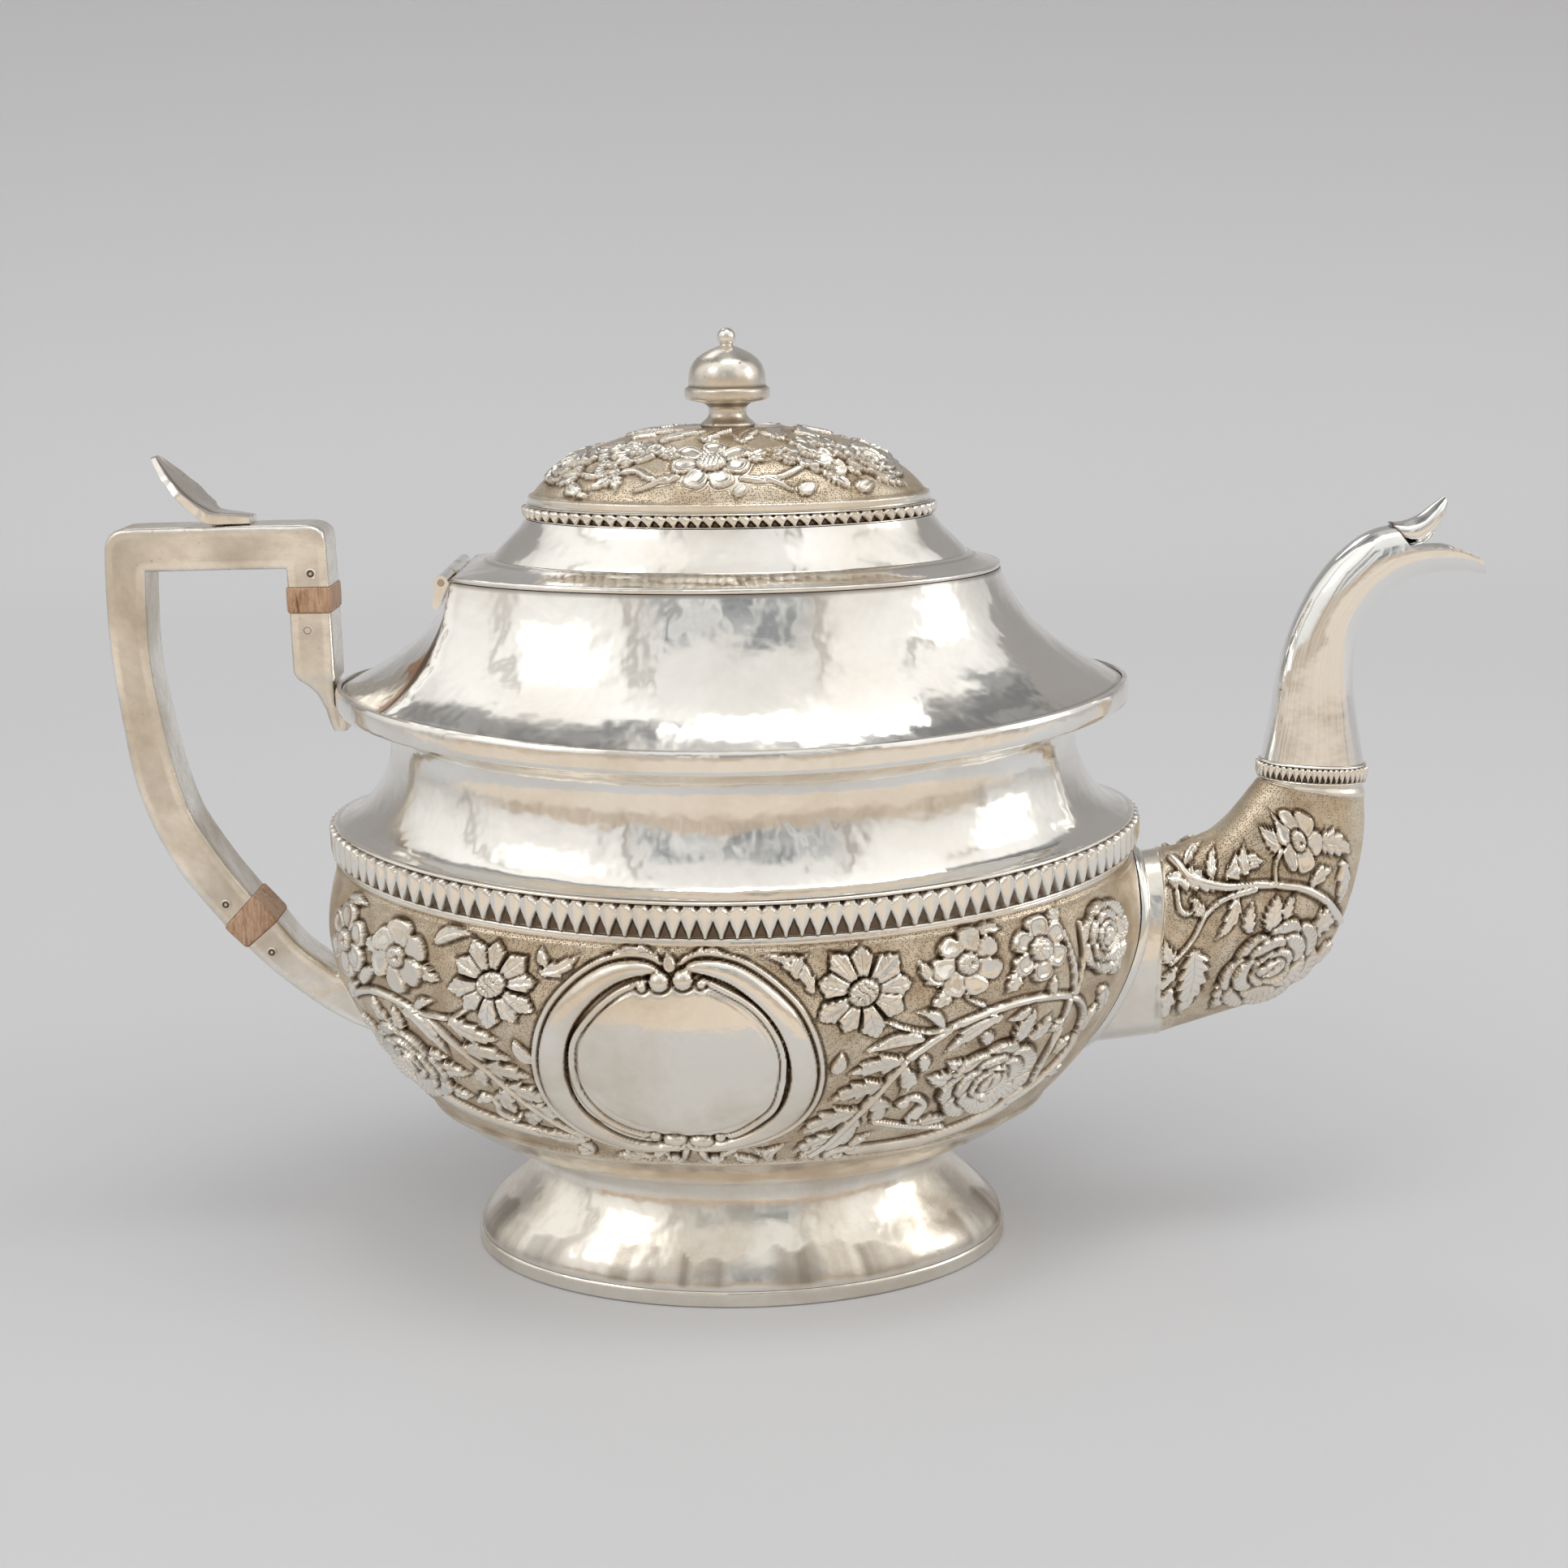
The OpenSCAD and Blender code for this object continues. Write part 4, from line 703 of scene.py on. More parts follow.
# ---------------------------------------------------------------- bowl
RADIAN_MM = 67.95    # mm of u for one radian of even angle, at the belly
ROOT_Z = 59.2        # middle of the spout root
SOCKET_Z = 50.9      # middle of the handle's foot
ROOT_SPOT, SOCKET_SPOT = (12.6, 21.2), (6.6, 7.6)        # half axes of the plain ovals under both
HOLE_R, HOLE_STEP, HOLE_FIELD = 1.3, 4.4, (8.1, 15.6)    # strainer holes and the half axes of their field
CHASED = ("ground", "cut_phase", "cut_mask", "dirt_and_shade")
ACANTHUS = {"deep": .42, "vein": .22}        # deeper lobes and a fainter vein than other leaves


def mirrored(x):
    """values of the drawn half, then of its mirror image"""
    return np.concatenate([x, x[:, ::-1]], 1)


def chased_attrs(maps, rest, dirt_and_shade=0.):
    """the four maps of a chased skin, with one value each for the rest of its places"""
    return {a: np.r_[m.ravel(), np.full(rest, dirt_and_shade if a == "dirt_and_shade" else 0.)] for a, m in zip(CHASED, maps)}


def chase_bowl(R):
    """the front half of the bowl's chasing, u right of the middle, v up from the seam"""
    # scrolls along the lower edge
    R.stem([(66, 33.5), (62, 29.6), (55, 26.6), (46, 24.6), (36, 24.3), (27, 24.6)], 1.5, top=.9, tip=1.)
    R.stem([(27.5, 25.6), (24, 25.2), (22.6, 23), (24.2, 21.6), (26, 22.2)], 1.0, top=.9, tip=.8)
    R.ball((25.1, 22.9), 1.2)
    R.stem([(-70, 35), (-62, 31.2), (-52, 29.3), (-44, 28.6), (-38, 27.2)], 1.4, top=.9, tip=1.)
    R.stem([(-39, 27.6), (-35.6, 26.6), (-35.4, 24), (-37.6, 23.4)], .95, top=.9, tip=.8)
    R.ball((-37, 24.9), 1.15)
    for sx, c in ((-1, -10.4), (1, -9.4)):
        R.stem([(c + sx * .6, 29), (c + sx * 1.4, 26.2), (c + sx * 2.4, 23.8), (c + sx * 4.4, 22.7),
                (c + sx * 5.9, 23.6)], .75, top=.7, tip=.8)
        R.stem([(c + sx * 9.5, 27.4), (c + sx * 7.2, 25.9), (c + sx * 5.8, 24.9)], .65, top=.6)
        R.ball((c + sx * 4.4, 24), .95)
    R.leaves(((-20, 23.6), (-27.2, 27.6), 1.6, .12, 3), ((-22.5, 23.3), (-29, 23.6), 1.3, -.1, 3),
             ((-19.6, 23.8), (-16.6, 26.8), 1.1, .1, 2), ((5.6, 23), (-.6, 25.6), 1.2, .1, 3),
             ((8.6, 23.4), (4.2, 27.2), 1.3, -.12, 3), ((9, 22.2), (11.6, 28.6), 1.3, .28),
             ((27, 26.4), (31, 30.2), 1.2, .1, 2))
    # big acanthus, left of the panel
    R.leaf((-33, 29.5), (-47.6, 30.4), 2.0, .12, 4)
    R.leaves(((-53.6, 50.6), (-43.2, 50.2), 2.3, .08, 3), ((-50.4, 46.9), (-40.4, 46.4), 2.4, .06, 3),
             ((-47.4, 42.6), (-37.6, 39.6), 2.6, .05, 4), ((-44.4, 38.6), (-34.8, 33.8), 2.4, .04, 4),
             ((-50, 46.8), (-51.4, 41.4), 1.6, -.2, 2), ((-46.8, 41.6), (-48, 34.4), 2.0, -.2, 3),
             ((-42.8, 36.2), (-45.6, 31), 1.6, -.1, 3), ((-39, 32), (-30.6, 28.2), 1.7, .05, 3), **ACANTHUS)
    R.stem([(-84, 53.6), (-78, 56.4), (-72, 58.1), (-65.6, 57.7), (-59.4, 55.5), (-54.4, 51.1),
            (-49.4, 46.1), (-46.2, 41.4), (-42, 36), (-36.6, 31), (-30.5, 28.4)], .85, top=.85, tip=.6, n=40)
    R.stem([(-61, 56.8), (-54.4, 57.3), (-51, 59.4), (-48, 62)], .6, top=.7, tip=.7)
    R.leaf((-54.6, 57.2), (-44.8, 54.6), 2.3, -.08, 4, vein=.32)
    R.leaves(((-61.8, 57.6), (-57.2, 60.2), 1.0, .12), ((-76.6, 58.6), (-71.4, 63), 1.3, .1),
             ((-65.6, 56.6), (-57.6, 48), 2.1, .16, 2), ((-84, 53.4), (-79, 57.8), 1.4, .1, 2))
    # rose, left
    R.leaves(((-70.6, 50), (-74.6, 56.4), 1.9, .1, 4), ((-69, 50.6), (-68.4, 56.2), 1.7, -.1, 4),
             ((-62.6, 42.6), (-54.4, 44), 2.3, .1, 5), ((-63.6, 46), (-58.6, 47), 1.5, .1, 3),
             ((-63, 38), (-57.6, 37), 1.9, -.1, 4), ((-78, 47), (-84.4, 49.6), 2.0, .1, 4))
    R.rose((-70.3, 42.8), 8.8, .4, seed=3)
    R.stem([(-56.2, 36.2), (-53.6, 37.8), (-51.8, 36.6), (-52.6, 33.6), (-49.6, 32.2), (-47.6, 34)], .8,
           top=.8, tip=.7)
    R.ball((-54.2, 37.4), 1.25)
    # flowers over the stem, left
    R.leaves(((-57.2, 71.6), (-49.8, 74.6), 1.5, .15), ((-60.6, 67), (-55.6, 64.6), 1.7, -.1, 4),
             ((-70.4, 67), (-74.6, 68.4), 1.8, .1, 4), ((-83, 73), (-76.6, 74), 1.2, .1))
    R.flower((-81.9, 65.6), 7.2, 2.2, 6, .5)
    R.flower((-65.6, 67), 6.9, 2.1, 6, .35, "swirl", turn=.16)
    R.flower((-44.7, 66.2), 8.7, 2.9, 10, .2, kind="point", button="cut")
    R.leaves(((-35.8, 69.8), (-28.6, 73.8), 1.7, -.1, 3), ((-34.6, 71), (-35.8, 74.6), 1., .1),
             ((-38.6, 50.2), (-41.6, 55.2), 1.5, .1))
    # right side: flowers over the stem
    R.leaves(((15.4, 67.2), (6.2, 74.7), 1.9, -.18, 2), ((12, 70), (14.6, 74.6), 1.3, .2, 2),
             ((19.4, 49.6), (20.8, 54.4), 1.4, -.1))
    R.flower((24.4, 66.7), 9.2, 3., 9, .1, kind="point", button="cut")
    R.leaves(((39.8, 66), (35, 71.6), 1.7, .12, 3), ((40.4, 65), (37, 62), 1.9, .1, 4),
             ((46.4, 74.4), (51.6, 74.2), 1.6, .1, 3))
    R.flower((44.1, 69.2), 6.6, 2.1, 7, .2, "swirl", turn=.3)
    R.leaves(((54, 65.6), (51.6, 61.8), 1.8, .1, 3), ((62.6, 72), (64.8, 75.4), 1.7, .1, 3))
    R.flower((59.1, 68.6), 6.2, 2.3, 6, .52, button="net")
    # end rose
    R.leaves(((80, 66), (83.4, 69.6), 1.8, .1, 4), ((78, 60), (81.6, 57.4), 1.8, .1, 4))
    R.rose((75.9, 66.4), 6.9, .2, seed=8)
    # stems, right
    R.stem([(18.2, 24.2), (21.4, 28.2), (25.6, 36.4), (28.2, 41), (30.6, 45.8), (33.2, 50.4), (37.6, 54.4),
            (42.4, 57.2), (50, 58.9), (56.3, 59.2), (62.5, 58.3), (67.6, 56.6), (71.3, 53.6), (73.4, 49.2),
            (73.8, 44.2), (72.2, 38.6), (68.2, 34.2), (64, 31.4)], .85, top=.85, tip=.9, n=64)
    R.leaves(((33.4, 51), (22.4, 48.9), 2.4, -.06, 3), ((30.2, 45.6), (19.8, 42.4), 2.6, -.06, 4),
             ((27, 38.6), (14.6, 32.6), 3., -.08, 4), ((23, 31.4), (14.2, 26), 2.2, -.04, 4),
             ((21, 28), (15.6, 22.8), 1.9, 0, 4), ((31.6, 49.4), (34.2, 41.2), 1.9, .22, 2),
             ((28, 42.6), (29.8, 33.4), 2., .16, 3), ((26, 36.6), (21, 25.2), 2.2, .08, 2), **ACANTHUS)
    R.stem([(18.2, 24.2), (21.4, 28.2), (25.6, 36.4), (28.2, 41), (30.6, 45.8), (33.2, 50.4)], .6, top=1.,
           tip=.9, n=30)
    R.stem([(42, 57), (36.6, 56.8), (31.6, 58.6), (28.6, 60.4)], .55, top=.7, tip=.8)
    R.leaves(((36.4, 55.6), (25.2, 54), 1.5, -.1), ((39.6, 57.2), (34, 61.4), 1.1, -.15),
             ((36.2, 51.6), (37, 46.8), 1.2, .12), ((51.4, 57.5), (41, 51), 1.9, -.1, 2),
             ((48.4, 54.6), (49, 50.8), 1.3, .1), ((57.4, 57.6), (53, 55.6), 1., .1))
    R.stem([(47, 60.4), (44.6, 61.8), (43, 63.8)], .55, top=.6)
    R.leaf((62, 58.8), (62.2, 62.4), 1., .1)
    R.stem([(67.8, 57.4), (66.6, 64), (64.8, 70.6)], .6, top=.7, tip=.6)
    R.stem([(68.2, 57.4), (69.2, 64), (69.4, 71)], .5, top=.6, tip=.6)
    R.stem([(66.9, 56), (66.7, 49.2), (66.3, 42.4), (67.4, 36.2)], .6, top=.75)
    R.leaves(((73.6, 46), (76.8, 52.4), 1.8, .1, 3), ((66.6, 52), (63.6, 50), 1.4, .1, 3),
             ((68.4, 43), (71.6, 46.6), 1.5, .1, 2), ((71, 37), (76.6, 36), 1.8, .1, 4),
             ((76, 56), (79, 49), 1.8, .15, 3))
    # large rose, right
    R.leaves(((56, 50.2), (58.6, 56.6), 2.3, .05, 5), ((59.2, 49.6), (63, 54.2), 1.9, -.1, 4),
             ((46, 44), (38.6, 45.4), 2.5, .06, 5), ((47, 47), (42, 48.6), 1.7, .1, 4),
             ((40.4, 31.4), (48, 31.8), 1.8, .06, 3), ((60, 34), (64.6, 38), 1.8, .1, 3))
    R.rose((52.9, 41.4), 9.3, .1, sy=1.02, seed=5)
    R.stem([(30.8, 34), (36, 32), (42, 30.2), (48.4, 28.4)], .8, top=.8, tip=.7)
    R.stem([(39.8, 36.4), (38.4, 33), (40.6, 31.4)], .8, top=.7)
    R.stem([(34.8, 38.6), (37.6, 40), (40.2, 37.6), (39.6, 34)], .9, top=.85, tip=.9)
    R.ball((35.4, 38.8), 1.2)
    # the panel: two broad scrolls, a thin ridge and a fine line inside them
    u0, v0 = -10.6, 51.35
    sl, X, Y = R.win(u0, v0, 33)
    kk = R.kv(v0)
    turn = np.arctan2(Y, X)

    def inside(a, b):
        """distance in from an oval of half axes a and b"""
        reach = (a * b) / np.sqrt((b * np.cos(turn)) ** 2 + (a * np.sin(turn)) ** 2)
        return (1 - np.hypot(X / a, Y / b)) * reach
    left = [(-13.4, 71.4), (-15.6, 72.2), (-19.4, 71.9), (-23.4, 70.2), (-27.6, 66.6), (-31.4, 61.2),
            (-34, 54.6), (-35.4, 47.6), (-35.3, 41), (-33.4, 35.6), (-29.6, 31.4), (-24.6, 28.9),
            (-19, 28.3), (-13.4, 29.2)]
    right = [(-8.6, 71.9), (-6.4, 72.8), (-2.6, 72.4), (1.6, 70.8), (6.2, 67.2), (10.2, 62.3), (12.7, 56),
             (13.8, 49.4), (13.1, 43), (10.6, 37.6), (6.2, 33.4), (.6, 30.7), (-4.6, 29.4), (-8.6, 29)]
    half = [.7, 1.25, 1.7, 2., 2.2, 2.4, 2.5, 2.5, 2.45, 2.25, 1.9, 1.5, 1.1, .8]
    R.leaves(((-13.4, 74), (-22.6, 74.6), 1.5, -.12, 3), ((-8, 73.8), (-.6, 75.2), 1.4, .12, 3),
             ((3.2, 72.6), (9, 68.4), 1., -.1, 2), ((-28, 69.6), (-23.4, 73), 1., .1, 2))
    for line in (left, right):
        R.stem(line, np.array(half) + 1.5, .4, n=90, edge=.25, cut=.5)
    R.stamp(sl, inside(24 * kk, 21.4), .3, .5, .1, cut=.3)
    for line in (left, right):
        R.stem(line, half, 1.25, n=90, edge=.95, base=.05, cut=.85, cw=.55)
    inner = [[(-15.8, 69.8), (-19.8, 68.2), (-23.4, 65.4), (-27.0, 61.2), (-29.6, 56.9), (-30.8, 51.8),
              (-31.1, 46.8), (-30.2, 41.7), (-27.7, 37.0), (-23.9, 33.9), (-18.6, 31.9)],
             [(-5.2, 70.4), (-1.7, 68.7), (2.7, 66.2), (6.1, 62.8), (8.7, 58.1), (9.8, 53.2), (9.6, 47.1),
              (8.3, 41.1), (4.9, 36.9), (.8, 33.5), (-3.0, 32.1)]]
    for line in inner:
        R.stem(line, .62, .55, 1., n=70, base=.22, cut=.42, cw=.4)
    R.stamp(sl, inside(18.9 * kk, 17.6), .0, .5, .42, cut=.2, cw=.3)
    for c, r in (((-13.3, 69.9), 2.), ((-8.9, 70.4), 2.)):
        R.ball(c, r, 1.55)
    for c in ((-16.5, 68.7), (-5.5, 69.7)):
        R.ball(c, .95, .9)
    for c in ((-13.4, 31.1), (-7.4, 30.9)):
        R.ball(c, 2.5, 1.35, ry=1.5)
    for c in ((-17.7, 32), (-3.2, 32)):
        R.ball(c, 1.1, .8)
    R.leaf((-11.2, 71.6), (-11.9, 75.6), 1.2, 0.)
    # plain edges
    up = R.v[:, None]
    R.clear(smooth((22.3 - up) / .9), .15)
    ridge = np.exp(-((up - 21.7) / .75) ** 2)
    R.h = R.h * (1 - ridge) + .6 * ridge
    R.clear(smooth((up - 76.4) / .4), .1)
    R.ridge(up - 75.4, .4, .3)


def bowl_columns(n):
    """u of n columns over the front half, closer together near the panel"""
    u = np.linspace(-PI * RADIAN_MM / 2, PI * RADIAN_MM / 2, 2001)
    w = np.r_[0, np.cumsum(np.interp(np.abs(u[1:] + 10), [36, 50], [1.4, 1.]))]
    return np.interp((np.arange(n) + .5) / n, w / w[-1], u)


def bowl_lining(t):
    """rings of the inner skin from the rim down; the last one lies on the floor"""
    pr = resample(bowl_c[::2], 34)
    inn = beside(pr, WALL)
    rings = [oval(a[0], b[1], t, b[0] - a[0]) for a, b in zip(pr[::-1], inn[::-1])]
    return np.array(rings[:-1] + [oval(SEAM_R, SEAM_H + WALL, t, -1.)])


def rim_faces(n, top, step, start):
    """triangles from the rim of n places to a ring at start, one place there for each step of them"""
    half, few, tri = step // 2, n // step, []
    for a in range(few):
        near, far = start + a, start + (a + 1) % few
        for e in range(step):
            o0, o1 = (top + (half + a * step + k) % n for k in (e, e + 1))
            tri.append((o0, o1, near if e < half else far))
            if e == half - 1:
                tri.append((o1, far, near))
    return np.array(tri)


def strainer():
    """round bars that bore the holes behind the spout, in offset rows within an oval"""
    bars = []
    a = np.linspace(0, 2 * PI, 20, endpoint=False)
    c, s = HOLE_R * np.cos(a), HOLE_R * np.sin(a)
    for row in range(-3, 4):
        for col in range(-2, 3):
            y = (col + (abs(row) % 2) * .5) * HOLE_STEP
            z = row * HOLE_STEP * .87
            if (y / HOLE_FIELD[0]) ** 2 + (z / HOLE_FIELD[1]) ** 2 < 1:
                ends = [np.stack([0 * a + x, y + c, ROOT_Z + z + s], 1) for x in (66, 86)]
                bars.append(loft("hole", ends, "caps", sharp=0))
    return join("holes", bars)


def bowl():
    # columns over half the round, and how many of them meet one of the lining
    nh, step = 644, 8
    vs = np.r_[np.linspace(0, 19, 11)[:-1], np.linspace(19, BOWL_RUN[-1], 186)]
    u = bowl_columns(nh)
    r, z = (np.interp(vs, BOWL_RUN, bowl_c[:, k]) for k in (0, 1))
    R = Relief(u, vs, r / BELLY_R)
    chase_bowl(R)
    # nothing stands up in an oval under the spout root, nor in one under the foot of the handle
    t = even(u / RADIAN_MM - PI / 2)
    X, Y, Z = np.moveaxis(oval(r[:, None], z[:, None], t[None, :]), -1, 0)
    spout = smooth((1.14 - np.hypot(Y / ROOT_SPOT[0], (Z - ROOT_Z) / ROOT_SPOT[1])) / .12)
    handle = smooth((1.25 - np.hypot(Y / SOCKET_SPOT[0], (Z - SOCKET_Z) / SOCKET_SPOT[1])) / .15)
    R.clear(np.where(X > 0, spout, handle))
    R.h -= .12 * R.g                 # the ground lies a little low
    maps = R.g * smooth((vs - 21.5) / .6)[:, None], R.hp, R.hm, R.dirt_and_shade()
    # whole round: front as drawn, back mirrored
    t = np.r_[t, -t[::-1]]
    skin = raised(oval(r[:, None], z[:, None], t[None, :]), mirrored(R.h))
    lining = bowl_lining(t[step // 2::step])
    k, n = skin.shape[:2]
    m, few = lining.shape[:2]
    start, end = k * n, k * n + m * few
    co = np.vstack([skin.reshape(-1, 3), lining.reshape(-1, 3), [[0, 0, SEAM_H], [0, 0, SEAM_H + WALL]]])
    floor = fan(0, n, end), fan(end - few, few, end + 1, True)
    tris = np.vstack([rim_faces(n, start - n, step, start), *floor])
    ob = make("bowl_chased", co, np.vstack([quads_of(k, n), quads_of(m, few, start)]), tris, sharp=50,
              attrs=chased_attrs([mirrored(q) for q in maps], m * few + 2, .35))
    cut_out(ob, strainer(), "MANIFOLD")
    put(ob, M_CHASE, "pot", ["bowl"])


bowl()

# ---------------------------------------------------------------- foot, neck, strips, deck
FOOT_RIM = [[52.1, 0], [52.6, 0], [53.35, .12], [53.62, .35], [53.7, .8], [53.7, 2.6], [53.6, 2.95],
            [53.3, 3.18], [52.8, 3.2], [52.1, 3.2]]
# places of the shoulder strip: out from the neck, up from its lower edge
STRIP = [[0, 0], [.8, .05], [1.1, .35], [1.22, 1.2], [1.2, 3.4], [1.05, 3.95], [.8, 4.3], [0, 4.4]]


def foot(t):
    piece("foot_rim", [oval(r, z, t) for r, z in FOOT_RIM], M_FOOT, "foot_strip")
    outer = np.vstack([foot_c, [[SEAM_R, 22.38], [40.1, 22.38]]])
    inn = beside(foot_c, WALL)
    inn[:, 1] = np.maximum(inn[:, 1], 3.25)
    inn = inn[::-2]

    def wave(reach, seed):
        return noise1(np.linspace(0, reach, len(t) // 2 + 1), seed)[:-1]
    # painted reflection of the brown room under the table, in streaks low on the flare
    room_reflection_streak = np.clip(.5 + .55 * wave(64, 31), 0, 1) * np.clip(.8 + .5 * wave(21, 8), 0, 1)
    edge = 10.4 + .9 * wave(30, 5)
    room_reflection_streak, edge = (np.r_[x, x[::-1]] for x in (room_reflection_streak, edge))
    dirt_and_shade = [(.13 + .27 * room_reflection_streak) * smooth(edge - z) * smooth((z - 3.6) / .5) for r, z in outer]
    dirt_and_shade += [np.full(len(t), .3)] * len(inn)
    rings = [oval(r, z, t) for r, z in [*outer, *inn]]
    piece("foot_flare", rings, M_FOOT, "foot", dirt_and_shade=dirt_and_shade)


foot(round_even(360))
put(shell("neck_waist", neck_c, WALL, 360), M_BODY, "pot", ["neck"])
rings = [oval(DECK_R + .12, SH_H + up, round_even(360), out) for out, up in STRIP]
piece("shoulder_rim", rings, M_BODY, "shoulder_strip")


HINGE_HALF = 26, 15                  # half width of the flat hinge plate, low and high on the deck
DECK_FOOT = 112.76                   # inside the shoulder strip


def deck_ring(r, z, s, i, t):
    """a ring of the deck, flat behind for the hinge; s is 0 at its foot and 1 at its mouth, i the way in"""
    ry = OVAL_RATIO * r
    w = mix(*HINGE_HALF, s)
    cut = math.sqrt(1 - (w / ry) ** 2)
    corner = r * mix(cut, 1, s)
    left = corner / cut
    c, sn = np.cos(t), np.sin(t)
    x, y = np.where(c >= 0, r * c, left * c), ry * sn
    flat = x < -corner
    x = np.where(flat, (r - corner) * (y / w) ** 2 - r, x)
    nx, ny = c / r, sn / ry
    l = np.hypot(nx, ny)
    return np.stack([x - np.where(flat, -i, i * nx / l), y - np.where(flat, i * sn, i * ny / l),
                     z - dip(z) * sn ** 2], -1)


def deck_lap_grime_and_shade(r, k, s, last):
    """raises the lap line where the hinge plate meets the deck in ring k, and gives the darkening of the
    ring: dirt, and painted shadow at the mouth under the lid's flange
    """
    e = np.abs(r[:, 1]) - mix(*HINGE_HALF, s)
    on = (r[:, 0] < -15) & (k > 0) & (k < last)
    lap = on * np.exp(-((e - .5 - .25 * noise1(r[:, 2] * .9 + 3, 4)) / .55) ** 2)
    r[:, 2] += .42 * lap
    r[:, 0] -= .30 * lap
    # a dark wedge beside the line
    wide = 2.4 * math.sin(PI * min(max(s, .02), .98)) ** 1.5
    wedge = on * np.clip(1 - np.abs(e + .9 + wide * .35) / (.35 + wide * .55), 0, 1)
    # rings near the deck's foot are a little darker; the top ring at the mouth is painted dark as the shadow
    # of the gap under the lid's flange
    d = .9 * smooth(wedge * 1.6) + .35 * np.exp(-((k - 1.5) / 1.2) ** 2) + .5 * (k >= last)
    return np.clip(d, 0, 1)


def deck():
    t = round_even(720)
    inn = beside(deck_c, WALL)

    def share(z):
        return min(max((z - STRIP_TOP) / (MOUTH_H - STRIP_TOP), 0), 1)
    heights = [0, *deck_c[:, 1]]
    rings = [deck_ring(DECK_R, DECK_FOOT, 0, 0, t)] + [deck_ring(r, z, share(z), 0, t) for r, z in deck_c]
    dirt_and_shade = [deck_lap_grime_and_shade(r, k, share(z), len(rings) - 1) for k, (r, z) in enumerate(zip(rings, heights))]
    rings += [deck_ring(MOUTH_R, MOUTH_H, 1, WALL, t)]
    for (r, z), (ri, zi) in list(zip(deck_c, inn))[-2:0:-2]:
        rings += [deck_ring(r, min(zi, 135.9), share(z), r - ri, t)]
    rings += [deck_ring(DECK_R, 113.8, 0, 1, t), deck_ring(DECK_R, DECK_FOOT, 0, 1, t)]
    dirt_and_shade += [np.full(len(t), .25)] * (len(rings) - len(dirt_and_shade))
    piece("deck_plate", rings, M_BODY, "deck", dirt_and_shade=dirt_and_shade, sharp=45)


deck()


# ---------------------------------------------------------------- bead band
def beads(x, y):
    """height and dirt of one upright bead; x runs -1..1 across it, y -1..1 up it"""
    ax = np.abs(x)
    round_top = 1.14 * np.sqrt(np.clip(1 - ((y - .4) / .64) ** 2, .02, 1))
    w = np.where(y > .4, round_top, mix(1.14, .2, np.clip((.4 - y) / 1.4, 0, 1) ** 1.3))
    on = smooth((w - ax) / .26 + .35)
    h = (1 - .5 * np.clip(ax / np.maximum(w, .2), 0, 1) ** 1.25) * (1 - .3 * np.clip(-y, 0, 1) ** 2)
    return on * h - .12 * (1 - on), (1 - on) * .95


def beaded(name, ring, low, z, rows, high, node, body="pot"):
    """a ring of beads with a fillet below and above; ring(out, z) makes its rings, rows gives out and dirt"""
    steps = [(*ring_row, mix(*z, (k + .5) / len(rows))) for k, ring_row in enumerate(rows)]
    all_rows = [*low, *((out, up, d) for out, d, up in steps), *high]
    rings = [ring(out, up) for out, up, d in all_rows]
    dirt_and_shade = [d + np.zeros(len(rings[0])) for out, up, d in all_rows]
    piece(name, rings, M_BEAD, node, body, dirt_and_shade, sharp=60)


def bead_band():
    n, per, rows_n = 140, 16, 15
    places = np.arange(n * per)
    t = even(places / len(places) * 2 * PI)
    # foot and head of the lower fillet, then of the upper one
    z0, z1, z2, z3 = 82.1, 82.8, 88.7, 89.4
    rng = np.random.RandomState(2)
    amp = rng.uniform(.92, 1.06, n)
    skew = rng.uniform(-.1, .1, n)
    x = (places % per + .5) / per * 2 - 1
    who = places // per
    rows = []
    for k in range(rows_n):
        h, d = beads(x, (k + .5) / rows_n * 2 - 1 - skew[who] * .8)
        rows.append((.3 + 1.42 * h * amp[who], d))
    low = [(0, z0, .3), (.5, z0 + .02, .1), (.74, z0 + .12, 0), (.8, z0 + .3, 0), (.72, z1 - .12, .2),
           (.4, z1 - .01, .6)]
    high = [(.4, z2 + .01, .5), (.6, z2 + .12, .1), (.64, z2 + .3, 0), (.5, z3 - .1, 0), (.1, z3, .1),
            (-1.5, z3 + .12, .2), (-1.5, z0, .2)]
    # the band's oval keeps one drop over its height
    beaded("band_of_beads", lambda out, z: oval(BAND_R, z, t, out, BAND_DIP), low, (z1, z2), rows, high,
           "bead_band")


bead_band()


# ---------------------------------------------------------------- lid
LID_X, DOME_X, LID_Y, DOME_Y = 45.2, 38.6, 45.2 * mix(.66, .6, .8), 38.6 * .6
# foot of the flange, of the wall, of the dome and of the finial
FLANGE_Z, WALL_Z, DOME_Z, FINIAL_Z = 136.4, 138.4, 148.4, 162.82


def lid_oval(rx, ry, z, t):
    """a level oval ring"""
    return np.stack([rx * np.cos(t), ry * np.sin(t), z + 0 * t], -1)


def lid_mouth(z, t, i=0):
    """a ring of the flange: the deck's mouth, flat behind"""
    r = deck_ring(MOUTH_R, MOUTH_H, 1, i, t)
    r[:, 0] = np.maximum(r[:, 0], -50.75 + i)
    r[:, 2] = z
    return r


